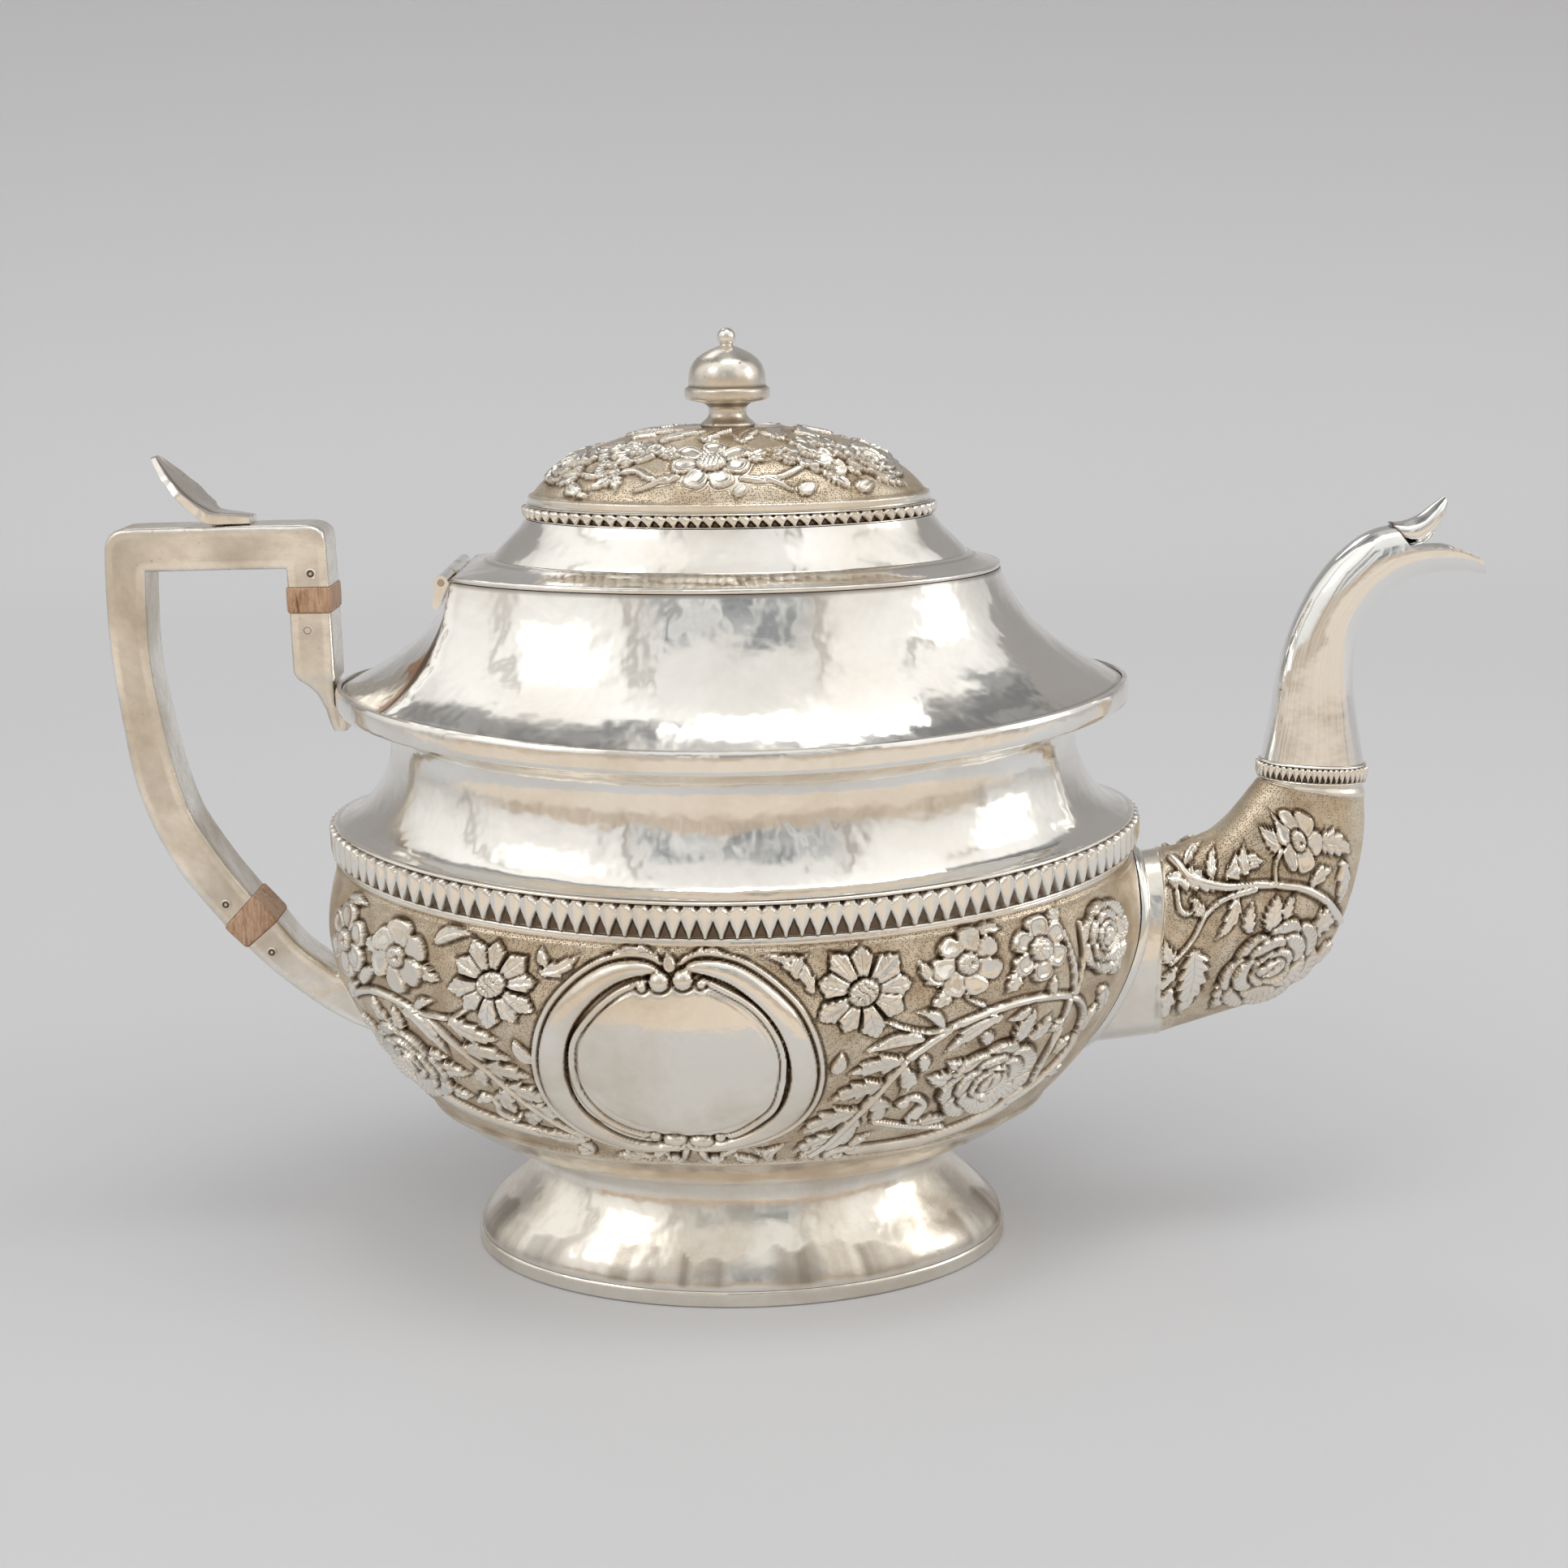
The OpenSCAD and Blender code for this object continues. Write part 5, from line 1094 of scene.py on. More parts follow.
def lid():
    t = round_even(400, .62)

    def step(out, z):
        return lid_oval(LID_X + out, LID_Y + out, WALL_Z + z, t)
    a, b = lid_mouth(FLANGE_Z + .8, t, .12), step(1.2, .36)
    slope = [mix(a, b, f) - [0, 0, .22 * math.sin(PI * f)] for f in (.2, .4, .6, .8)]
    rings = [lid_mouth(FLANGE_Z, t, .1), lid_mouth(FLANGE_Z + .12, t), lid_mouth(FLANGE_Z + .66, t), a,
             *slope, b]
    rings += [step(out, z) for out, z in ((.5, .7), (0, .8), (-1.2, .8), (-1.2, 0), (.6, -.4))]
    dirt_and_shade = np.zeros((len(rings), len(t)))
    # painted shadow: the flange's two lowest rings are darkened for the gap over the deck's mouth; ring 8, at
    # the step into the wall, is a little darker
    dirt_and_shade[:2] = [[.7], [.2]]
    dirt_and_shade[8] = .25
    piece("lid_rim", rings, M_BODY, "lid_flange", "lid", dirt_and_shade, sharp=50)
    c = bezier([[0, 139.22], [.3, 141.8], [.72, 143.4], [1, 146.4]], 16)
    rings = [lid_oval(mix(LID_X - .1, DOME_X, x) - i, mix(LID_Y - .1, DOME_Y, x) - i, z, t)
             for i, part in ((0, c), (.8, c[::-3])) for x, z in part]
    piece("lid_side", rings, M_BODY, "lid_wall_ring", "lid")


def lid_rope():
    """slanted beads between two fine fillets"""
    n, per, rows_n = 84, 14, 9
    phi = np.arange(n * per) / (n * per) * 2 * PI
    rx, ry = DOME_X - 1.6, DOME_Y - 1.6
    q = ry / rx
    t = even(phi, q)

    def ring(out, z):
        cx, cy = np.cos(t) * q, np.sin(t)
        l = np.hypot(cx, cy)
        return np.stack([rx * np.cos(t) + out * cx / l, ry * np.sin(t) + out * cy / l, z + 0 * t], -1)
    z0, z1 = 146.42, 149.16
    rows = []
    for k in range(rows_n):
        y = (k + .5) / rows_n * 2 - 1
        h, d = beads((phi / (2 * PI) * n + .12 * y) % 1 * 2 - 1, y)
        rows.append((1.0 + 1.25 * h, d))
    low = [(0, z0, .3), (1.35, z0 + .02, .1), (1.6, z0 + .14, 0), (1.55, z0 + .3, .4)]
    high = [(1.25, z1 - .38, .4), (1.4, z1 - .2, 0), (1.3, z1 - .05, 0), (.9, z1, .1), (0, z1, .2)]
    beaded("lid_rope", ring, low, (z0 + .32, z1 - .42), rows, high, "lid_bead_ring", "lid")


def lid_dome():
    r0, rise, z0 = DOME_X - .5, 13.6, DOME_Z + .8
    c = bezier([[r0, z0], [r0 - 4.6, z0 + rise * .67], [16.8, z0 + rise], [8.8, z0 + rise]], 120)
    s = run(c)
    # u runs round at the foot of the dome, v up its side
    vs, nh = np.linspace(0, s[-1], 96), 320
    q = (DOME_Y - .5) / r0
    per_rad = (r0 + DOME_Y) / 2
    u = ((np.arange(nh) + .5) / nh * PI - PI / 2) * per_rad
    rr, zz = (np.interp(vs, s, c[:, k]) for k in (0, 1))
    R = Relief(u, vs, np.maximum(rr / r0, .25))
    chase_dome(R)
    t = even(u / per_rad - PI / 2, q)
    t = np.r_[t, -t[::-1]]
    skin = raised(np.array([lid_oval(a, a * q, b, t) for a, b in zip(rr, zz)]), mirrored(R.h))
    inn = beside(c[::12], 1.)
    lining = [lid_oval(b[0], a[0] * q - (a[0] - b[0]), b[1], t) for a, b in zip(c[::-12], inn[::-1])]
    # the seat is bored for the stud
    rings = [lid_oval(1.56, 1.56, z, t) for z in (z0 + rise, z0 + rise - 1)]
    rings += lining[:-1] + [lid_oval(r0 - 1, r0 * q - 1, z0, t)]
    attrs = chased_attrs([mirrored(w) for w in (R.g, R.hp, R.hm, R.dirt_and_shade())], len(rings) * len(t))
    put(loft("lid_chased", [*skin, *rings], attrs=attrs, sharp=50), M_CHASE, "lid", ["lid_dome"])


def chase_dome(R):
    """the front half of the dome's chasing, u right of the middle"""
    s_top = R.v[-1]
    # sprays left and right of the main flower, then the flowers over them
    R.stem([(-11, 8.6), (-14, 7.2), (-17.4, 8.4), (-20.7, 10.1), (-25, 9.2), (-31, 8), (-38, 11), (-46, 14)],
           .8, top=.8, tip=.7)
    R.stem([(-13.4, 8), (-16, 6), (-18.4, 4.6)], .75, top=.75, tip=.4)
    R.stem([(3.4, 8), (7.6, 7.2), (12, 8.2), (16.6, 10.6), (20, 12.6), (27, 10), (36, 12), (46, 13)], .8,
           top=.8, tip=.7)
    R.stem([(9, 7.8), (11.8, 6), (13.4, 4.6)], .75, top=.75, tip=.4)
    R.leaves(((-13, 15.6), (-18.4, 19.6), 2., .1, 5), ((-12.8, 14.8), (-18.6, 15.6), 1.5, -.1, 4),
             ((5, 15.4), (11.6, 17.4), 2., -.1, 5), ((5.4, 13.6), (10.6, 13.8), 1.3, .1, 3),
             ((-24.4, 9.6), (-27.6, 4.6), 1.9, .1, 5), ((-25.4, 8.4), (-22.2, 4.8), 1.4, .1, 3),
             ((-29.6, 3.4), (-33.6, 6.6), 1.4, .1), ((-29.8, 3.6), (-27.4, 3), .8, 0),
             ((-33.4, 9), (-37.4, 5), 1.8, .1, 4), ((1.8, 3.4), (4.4, 6.4), 1.1, .1), ((-3, 21.4), (-8, 24),
        1.2, .1, 2), ((14.6, 3.6), (18.6, 6), 1.4, .1), ((22, 8.4), (24.6, 4.4), 2., .1, 5),
             ((26, 3.8), (30.4, 5.6), 1.4, .1), ((32, 6.6), (37.6, 4.2), 1.8, .1, 4),
             ((-36.8, 13), (-41.4, 17.6), 1.9, .1, 4), ((30, 15.6), (35.6, 20), 2., .1, 4),
             ((28, 7.8), (30.8, 11.4), 1.5, .1, 3))
    for a in range(8):
        R.leaf((-52 + 14 * a, 21.5 + a % 2), (-40 + 14 * a, s_top - 4.2 + a % 2), 2., .12, 3)
    R.flower((-27.3, 11.4), 3.1, 1.1, 5, .3)
    R.flower((-31.8, 17), 4., 1.3, 6, .2)
    R.flower((-24.8, 16.2), 4.5, 1.45, 6, .3, "swirl", turn=.1)
    R.rose((-40.6, 10.6), 5.4, .3, seed=11)
    R.flower((17, 15), 3.3, 1.1, 6, .1)
    R.flower((27.6, 18.6), 4.6, 1.4, 6, .5)
    R.flower((23.4, 10.6), 3.3, 1.1, 6, .2, "swirl")
    R.flower((21.4, 14.8), 4.5, 1.45, 6, 0., "swirl", turn=.1)
    R.rose((36.4, 12), 6.2, .8, seed=12)
    R.flower((-3.8, 12.9), 7.9, 2.9, 7, PI / 2, button="net")
    R.h *= .72
    up = R.v[:, None]
    R.clear(smooth((1.7 - up) / .5))
    R.ridge(up - 1.25, .55, .55)
    R.clear(smooth((up - (s_top - 1.9)) / .5))
    R.ridge(up - (s_top - 1.5), .4, .3)


def ring_xy(r, z, t):
    return lid_oval(r, r, z, t)


def finial_profile(z):
    """(r, z) from the foot up: washer, waisted stem, disc, bell and knob"""
    disc, bell, knob, top = z + 5.2, z + 7.6, z + 14.9, z + 18.2
    high = knob - bell
    p = [[0, z], [4.75, z], [4.9, z + .25], [4.85, z + .6], [4.6, z + .9]]
    p += list(bezier([[4.6, z + .9], [3.7, z + 1.6], [3.4, z + 2.4], [3.6, z + 3.6]], 9)[1:])
    p += [[3.9, z + 4.05]] + [[r, disc + up] for r, up in ((4.5, -.75), (5.4, -.55), (6.6, -.35), (7.5, -.1),
        (7.9, .3), (8., .7), (8., 1.6), (7.9, 1.95))] + [[7.55, bell - .22]]
    p += list(bezier([[7.2, bell - .05], [7.6, bell + .6 * high], [5.4, bell + .8 * high], [1.3, knob]], 22))
    p += [[1.75 * math.cos(a), top - 1.75 + 1.75 * math.sin(a)] for a in np.radians(np.linspace(-48, 88,
        12))]
    return np.array(p)


def finial():
    t = np.linspace(0, 2 * PI, 96, endpoint=False)
    rings, dirt_and_shade = [], []
    for r, z in finial_profile(FINIAL_Z):
        up = z - FINIAL_Z
        # an old solder lump round the foot of the stem
        lump = .42 * math.exp(-((up - .7) / .9) ** 2) * (.6 + .4 * np.sin(3 * t + 1) * np.sin(t * 5))
        rings.append(ring_xy(max(r, .01) + lump, z, t))
        d = sum(high * math.exp(-((up - at) / wide) ** 2) for high, at, wide in ((.75, .2, .35),
            (.5, 4.2, .5), (.5, 7.6, .35)))
        dirt_and_shade.append(np.clip(d + 0 * t, 0, 1))
    a = loft("finial_top", rings, "caps", attrs=capped(dirt_and_shade), sharp=45)
    b = loft("stud", [ring_xy(1.5, z, t) for z in (FINIAL_Z - 5, FINIAL_Z + .2)], "caps",
             attrs=capped(np.zeros((2, len(t)))))
    put(join("finial_cast", [a, b]), M_FINIAL, "lid", ["finial"])


lid()
lid_rope()
lid_dome()
finial()

# ---------------------------------------------------------------- spout
COLLAR_X, COLLAR_Z = 112.7, 95.5     # middle of the bead collar
LIP_X, LIP_Z = 144., 133.3           # the lip
FROM_COLLAR = np.array([COLLAR_X, 0])
ROOT_OUT = .15                       # gap between the bowl's own skin and the root
ROOT_HALF, COLLAR_HALF = 11.5, 6.2   # half widths of the lower spout at its ends
COLLAR_RATIO = .62                   # width of the collar as a share of its length
# the spout's outline from the side, as places (x from the collar, z) along its under side and its upper side
LOWER_UNDER = np.array([[-31.5, 41], [-24.3, 43.1], [-17.5, 45.2], [-10.7, 47.4], [-4, 50.1], [1.5, 54.2],
                        [5.4, 60], [8.2, 67.4], [10.1, 76], [10.8, 84], [10, COLLAR_Z - 2.6]]) + FROM_COLLAR
LOWER_OVER = np.array([[-25.8, 80.2], [-22.4, 81.8], [-19.3, 83.3], [-17, 85.3], [-15.3, 87.2], [-14, 88.9],
                       [-13, 90.2], [-12.2, 91.4], [-11.4, 92.4], [-10.8, 93.2],
                       [-10, COLLAR_Z - 1.6]]) + FROM_COLLAR
UPPER_UNDER = np.array([[10, COLLAR_Z + 1.4], [8.6, 103.5], [7.3, 110.5], [6.9, 116.8], [7.4, 121.6],
                        [9, 125.6], [12, 129.2], [15.8, 132], [20.3, 133.5], [26, LIP_Z + .6],
                        [LIP_X - COLLAR_X, LIP_Z]]) + FROM_COLLAR
UPPER_OVER = np.array([[-10, COLLAR_Z + 2.4], [-8.8, 105], [-7.9, 112.7], [-6.7, 119.6], [-4.4, 126.2],
                       [-1.3, 132.3], [3, 137.6], [9, 141.9], [16.5, 143.2], [23.5, 142.5],
                       [LIP_X - COLLAR_X - 3.5, LIP_Z + 7.5]]) + FROM_COLLAR


def section(p, q, b, i, f):
    """an oval ring across the spout from place p below to q above; b is half its width, i the way in"""
    m = (p + q) / 2
    d = unit(q - p)
    a = np.linalg.norm(q - p) / 2 - i
    return np.stack([m[0] + d[0] * a * np.cos(f), -(b - i) * np.sin(f), m[1] + d[1] * a * np.cos(f)], -1)


def root_ring(a, b, f, i=0., forward=0.):
    """an oval ring on the bowl's end, i in from half axes a and b"""
    y = -(b - i) * np.sin(f)
    z = ROOT_Z + (a - i) * np.cos(f)
    return np.stack([bowl_x(y, z, ROOT_OUT) + forward, y, z], -1)


def spout_lower():
    nrow, nf = 190, 260
    first = [[bowl_x(0, 39.6, ROOT_OUT), 39.6, bowl_x(0, 78.8, ROOT_OUT), 78.8]]
    path = np.vstack([first, np.hstack([LOWER_UNDER, LOWER_OVER])])
    # smooth run through the stations, even along the middle; share is 0 at the root and 1 at the collar
    places = np.linspace(0, len(path) - 1 - 1e-9, 600)
    fine = catmull(path, places)
    s = run((fine[:, :2] + fine[:, 2:]) / 2)
    vs = np.linspace(0, s[-1], nrow)
    st = np.stack([np.interp(vs, s, fine[:, k]) for k in range(4)], 1)
    share = np.interp(vs, s, places) / (len(path) - 1)
    step = 1 / (len(path) - 1)
    half = mix(ROOT_HALF, COLLAR_HALF, share ** .8)
    long = np.linalg.norm(st[:, 2:] - st[:, :2], axis=1) / 2
    # f = 0 on the upper side, a quarter turn faces the front
    f = np.arange(nf) / nf * 2 * PI
    skin = []
    for r in range(nrow):
        g = even(f, half[r] / long[r])
        ring = section(st[r, :2], st[r, 2:], half[r], 0, g)
        if share[r] < step:
            station = section(path[1, :2], path[1, 2:], mix(ROOT_HALF, COLLAR_HALF, step ** .8), 0, g)
            ring = mix(root_ring(19.6, ROOT_HALF, g), station, share[r] / step)
        skin.append(ring)
    # relief on the front half only, then mirrored; u = 0 in the middle of that half
    arc = PI * (3 * (long + half) - np.sqrt((3 * long + half) * (long + 3 * half)))
    nh = nf // 2
    R = Relief((np.arange(nh + 1) / nh - .5) * arc.max() / 2, vs, arc / arc.max())
    chase_front(R)
    h, *maps = (np.concatenate([q[:, :nh], q[:, nh:0:-1]], 1) for q in (R.h, R.g, R.hp, R.hm, R.dirt_and_shade()))
    inner = [section(st[r, :2], st[r, 2:], half[r], 1., even(f, half[r] / long[r])) for r in range(nrow - 1,
        -1, -6) if share[r] > 1.2 * step]
    inner += [root_ring(19.6, ROOT_HALF, even(f, .587), 1.)]
    attrs = chased_attrs(maps, len(inner) * nf)
    put(loft("spout_chased", [*raised(np.array(skin), h), *inner], attrs=attrs, sharp=50), M_CHASE, "pot",
        ["spout_lower"])


def chase_front(R):
    """the side of the lower spout: u runs from its upper edge (-) to its lower edge (+), v from the bowl"""
    L = R.v[-1]
    R.leaves(((-9, 42.6), (-16, 38.6), 2.8, .12, 6), ((-9.4, 44), (-15, 46), 1.6, -.1, 4),
             ((1.6, 48.8), (15, 51), 2.1, .1, 5), ((-12.4, 23.5), (-10.2, 35.4), 2.4, .1, 4),
             ((-12.8, 20), (-19.6, 21.4), 1.9, .1, 4), ((-10.4, 29), (-16, 31.4), 1.7, .1, 3),
             ((4.6, 42), (9.8, 47.2), 1.5, .1, 2), ((12.6, 49.4), (16, 44), 1.7, .1, 3),
             ((-16.6, 7.4), (-10.4, 20.8), 2.4, .1, 5), ((-8, 26), (.2, 20.6), 2., .12, 4),
             ((-6.4, 18.4), (-12, 15.2), 1.5, .1, 3), ((12, 38), (17.6, 43.6), 2., .1, 4),
             ((9.6, 23), (17.4, 20.6), 2.1, .1, 4), ((.4, 16), (15.6, 15.2), 3., .06, 6),
             ((1.6, 12.4), (-4.6, 8.8), 1.8, .1, 4), ((7.6, 12.2), (17.6, 9.4), 1.9, .1, 4),
             ((2.6, 12.6), (7.6, 9.2), 1.5, .1, 3), ((-18.6, 12), (-22, 17.6), 1.7, .1, 3),
             ((2.4, 27.6), (-4.6, 29.6), 1.7, .1, 4), ((17.4, 26), (21.4, 31), 1.8, .1, 3),
             ((18.2, 36.4), (22.6, 40.4), 1.7, .1, 3))
    R.stem([(-21.1, 9.1), (-15.3, 14.1), (-10.6, 23.2), (-5.9, 33.6), (1.6, 39.9), (11.3, 43), (19.6, 43)],
           .85, top=.95, tip=.8, n=50)
    R.stem([(-4.4, 35.6), (-7.4, 37.4), (-8.2, 40.6), (-6.6, 43)], .65, top=.8, tip=.8)
    R.stem([(-6.7, 30.8), (-8.2, 23.2), (-6.7, 18.5), (-2.3, 15.7), (1.6, 11.6)], .7, top=.85, tip=.8)
    R.stem([(-13.6, 10.6), (-10, 11.8), (-8.4, 14.4), (-10, 16), (-11, 14.4)], .6, top=.8, tip=.8)
    R.leaves(((5, 31.6), (-2.2, 35.4), 2.8, .05, 6), ((4.6, 34.6), (1.6, 38.6), 1.7, .1, 4))
    R.rose((12.1, 30.1), 8.4, .5, sx=.9, sy=1.04, seed=21)
    R.flower((-4.7, 46.4), 6.2, 2.05, 6, .35, "swirl", turn=.15)
    # plain band at the root, with a fine edge, and a plain fillet under the collar
    root = np.interp(R.u, [-21.5, -4.3, 16.8, 25], [7.2, 8.5, 12.9, 13.4])[None, :] - R.v[:, None]
    R.clear(smooth((R.v[:, None] - (L - 1.5)) / .3))
    R.clear(smooth(root / .6))
    R.ridge(root - .5, .35, .3)
    R.ridge(R.v[:, None] - (L - 1.1), .4, .4)


def root_collar():
    f = np.arange(120) / 120 * 2 * PI
    a, b = 20.5, 12.4
    outer = [root_ring(a + more, b + more, f, 0, x) for more, x in ((.5, 0), (.5, .6), (.3, 1.15),
        (-.1, 1.5))]
    inner = [root_ring(20.05, 11.7, f, 0, 1.5), root_ring(19.7, 11.6, f)]
    piece("spout_root_ring", outer + inner, M_BODY, "spout_root_collar")


def collar_beads():
    n, per, rows_n = 46, 12, 9
    places = np.arange(n * per)
    t = even(places / len(places) * 2 * PI, COLLAR_RATIO)
    x = (places % per + .5) / per * 2 - 1
    middle = np.array([COLLAR_X, COLLAR_Z])
    under, over = ([middle + [side, rise], middle + [side, rise + 3.9]] for side, rise in ((10, -2.55),
        (-10, -1.55)))

    def ring(out, up):
        r = section(mix(*under, up), mix(*over, up), COLLAR_HALF, 0, t)
        d = unit((r - r.mean(0)) / [1, COLLAR_RATIO ** 2, 1])
        return r + d * np.reshape(out, (-1, 1))
    rows = [(.15 + .8 * h, d) for h, d in (beads(x, (k + .5) / rows_n * 2 - 1) for k in range(rows_n))]
    low = [(-.9, 0, .3), (.15, 0, .2), (.5, .04, 0), (.62, .1, 0), (.45, .15, .5)]
    high = [(.4, .87, .5), (.55, .91, 0), (.45, .97, 0), (.1, 1., .2), (-.9, 1., .3)]
    beaded("spout_collar_beads", ring, low, (.16, .86), rows, high, "spout_bead_collar")


def lip_cutter():
    """a flat block whose under side gives the open lip its line from the side"""
    poly = [[12.1, 150], [12.1, 143.7], [15.9, 138.6], [24, 138.8], [28.7, 137.2], [LIP_X - COLLAR_X - .5,
        LIP_Z + 2], [LIP_X - COLLAR_X + 8, LIP_Z - 1], [LIP_X - COLLAR_X + 8, 150]]
    k = len(poly)
    co = [((x + COLLAR_X + SHIFT_X) * .001, y * .001, z * .001) for y in (-12, 12) for x, z in poly]
    sides = [[a, a + k, (a + 1) % k + k, (a + 1) % k] for a in range(k)]
    me = bpy.data.meshes.new("cut")
    me.from_pydata(co, [], [list(range(k)), list(range(2 * k - 1, k - 1, -1))] + sides)
    me.validate()
    ob = bpy.data.objects.new("cut", me)
    bpy.context.scene.collection.objects.link(ob)
    return ob


def spout_upper():
    half = np.interp(np.arange(11), [0, 2, 4, 7, 9, 10], [COLLAR_HALF, 5.2, 4.8, 5.1, 4.4, 2.6])
    rows = catmull(np.hstack([UPPER_UNDER, UPPER_OVER, half[:, None]]), np.linspace(0, 10 - 1e-9, 90))
    f = even(np.arange(96) / 96 * 2 * PI, COLLAR_RATIO)
    rings = [section(r[:2], r[2:4], r[4], 0, f) for r in rows]
    rings += [section(r[:2], r[2:4], r[4], 1. if r[0] < COLLAR_X + 20 else .9, f) for r in rows[::-1]]
    ob = loft("spout_tube", rings, sharp=40)
    cut_out(ob, lip_cutter(), "EXACT")
    ob.data.set_sharp_from_angle(angle=math.radians(40))
    put(ob, M_POLISH, "pot", ["spout_upper"])


spout_lower()
root_collar()
collar_beads()
spout_upper()


def tip_leaf():
    """the leaf that curls back over the lip, in rows of its upper x and z, half width, lower x and z"""
    line = np.array([[12.3, 143.5, 2.6, 16.2, 138.75], [15, 143.6, 3.2, 18.9, 139.3], [17.8, 144.7, 3, 20.9,
        141.2], [20.4, 146.7, 2.3, 22.4, 143.6], [22.4, 148.2, 1.2, 23.2, 146.4]]) + [COLLAR_X, 0, 0,
        COLLAR_X, 0]
    f = np.arange(64) / 64 * 2 * PI
    wave, above = np.cos(5 * f), np.cos(f) > -.2
    rings, dirt_and_shade = [], []
    for k, (x, z, w, lx, lz) in enumerate(spline(line, 40)):
        u = k / 39
        fold = 1 + .03 * wave * above * min(1, 3 * u)          # five folds along its upper side
        c, sn = np.cos(f) * fold, np.sin(f) * fold
        rings.append(np.stack([(x + lx) / 2 + (x - lx) / 2 * c, -w * sn, (z + lz) / 2 + (z - lz) / 2 * c],
                              -1))
        dirt_and_shade.append(np.clip(-.6 * wave * above + .1, 0, 1) * .3 + .8 * math.exp(-(u / .04) ** 2))
    piece("tip_curl", rings, M_POLISH, "spout_tip_leaf", dirt_and_shade=dirt_and_shade, kind="caps", sharp=60)


tip_leaf()


# ---------------------------------------------------------------- handle
def round_bar(o, i, w, e=.95, seg=4):
    """rounded section between an outer and an inner place, w wide across; also its places in its own plane"""
    o, i = np.array(o, float), np.array(i, float)
    L = np.linalg.norm(o - i)
    d, m = (o - i) / L, (o + i) / 2
    e = min(e, L * .3)
    corner = [np.stack([sx * (L / 2 - e) + e * np.cos(a), sy * (w / 2 - e) + e * np.sin(a)], 1)
              for sx, sy, a in ((sx, sy, np.radians(a0 + np.linspace(0, 90, seg + 1)))
                                for sx, sy, a0 in ((1, 1, 0), (-1, 1, 90), (-1, -1, 180), (1, -1, 270)))]
    # extra places along the flat sides
    own = np.vstack([np.vstack([c, [mix(c[-1], corner[(k + 1) % 4][0], g / 6) for g in range(1, 6)]])
                     for k, c in enumerate(corner)])
    return np.stack([m[0] + d[0] * own[:, 0], own[:, 1], m[1] + d[1] * own[:, 0]], -1), own


def bar_skin(name, stations, rough=.03, seed=1, n=None):
    """a hand worked bar through stations of outer place, inner place and width"""
    st = np.array([[*a, *b, c] for a, b, c in stations], float)
    p = spline(st, n or max(8, int(run((st[:, :2] + st[:, 2:4]) / 2)[-1] / .8)))
    rings, dirt_and_shade = [], []
    for k, q in enumerate(p):
        r, own = round_bar(q[:2], q[2:4], q[4])
        # slow hollows along the bar
        th = np.arctan2(own[:, 1], own[:, 0])
        wave = noise1(np.array([k * .11]), seed)[0] + .6 * np.sin(3 * th + k * .05)
        wave = wave + .5 * np.sin(2 * th - k * .17 + seed)
        d = r - r.mean(0)
        rings.append(r.mean(0) + d * (1 + rough * wave / np.maximum(np.linalg.norm(d, axis=1), 1))[:, None])
        across, along = np.abs(own[:, 1]), np.abs(own[:, 0])
        flat_side = (across > q[4] / 2 - .3) & (along < along.max() - 1.3)
        dirt_and_shade.append(np.where(flat_side, .16 + .05 * math.sin(k * .23), 0.))
    return loft(name, rings, "caps", attrs=capped(dirt_and_shade), sharp=40)


GRIP_X, GRIP_Z = 118., 145.9         # outer edges of the grip: behind and on top
ARM_X = 75.6                         # front edge of the upper arm
FROM_GRIP = np.array([-GRIP_X, 0])
# pairs of outer and inner places (x from the back of the grip, z), from the lower insulator up
low_a = np.array([[17.6, 67.4], [23.4, 73.5]]) + FROM_GRIP
low_b = np.array([[21.8, 62.9], [27.9, 68.2]]) + FROM_GRIP
side = np.array([[[14, 72.1], [19.5, 78.9]], [[10.1, 77.5], [16.2, 84.1]], [[6.9, 83.7], [13.2, 89.4]],
                 [[4.4, 90], [11.6, 94]], [[2.4, 97.7], [10.1, 100.4]], [[.9, 109.9], [8.5, 110.5]],
                 [[0, 122], [7.4, 121]], [[0, 131], [7.6, 131]]]) + FROM_GRIP
# the same over the top, with z from the top of the grip, and then down the arm, with x from its front edge
top = np.array([[[.5, -5], [8, -8.6]], [[1.2, -2.2], [8.2, -8.5]], [[3.2, -.6], [8.4, -8.5]],
                [[6.5, -.3], [8.9, -8.5]], [[18, -.2], [18, -8.5]], [[28, 0], [28, -8.4]]])
top = top + [-GRIP_X, GRIP_Z]
arm = np.array([[[-7.4, 0], [-7.9, -8.4]], [[-3.4, 0], [-8, -8.5]], [[-1.2, -.7], [-8, -8.7]],
                [[-.2, -2.7], [-8, -9]], [[0, -11.6], [-8, -11.6]]]) + [-ARM_X, GRIP_Z]
put(bar_skin("grip_bar", [(a, b, 10.) for a, b in [low_a, *side, *top, *arm]], seed=3), M_HANDLE, "pot",
    ["grip"])
RIM = -(DECK_R + .12 + 1.2 + .12)    # just behind the shoulder strip
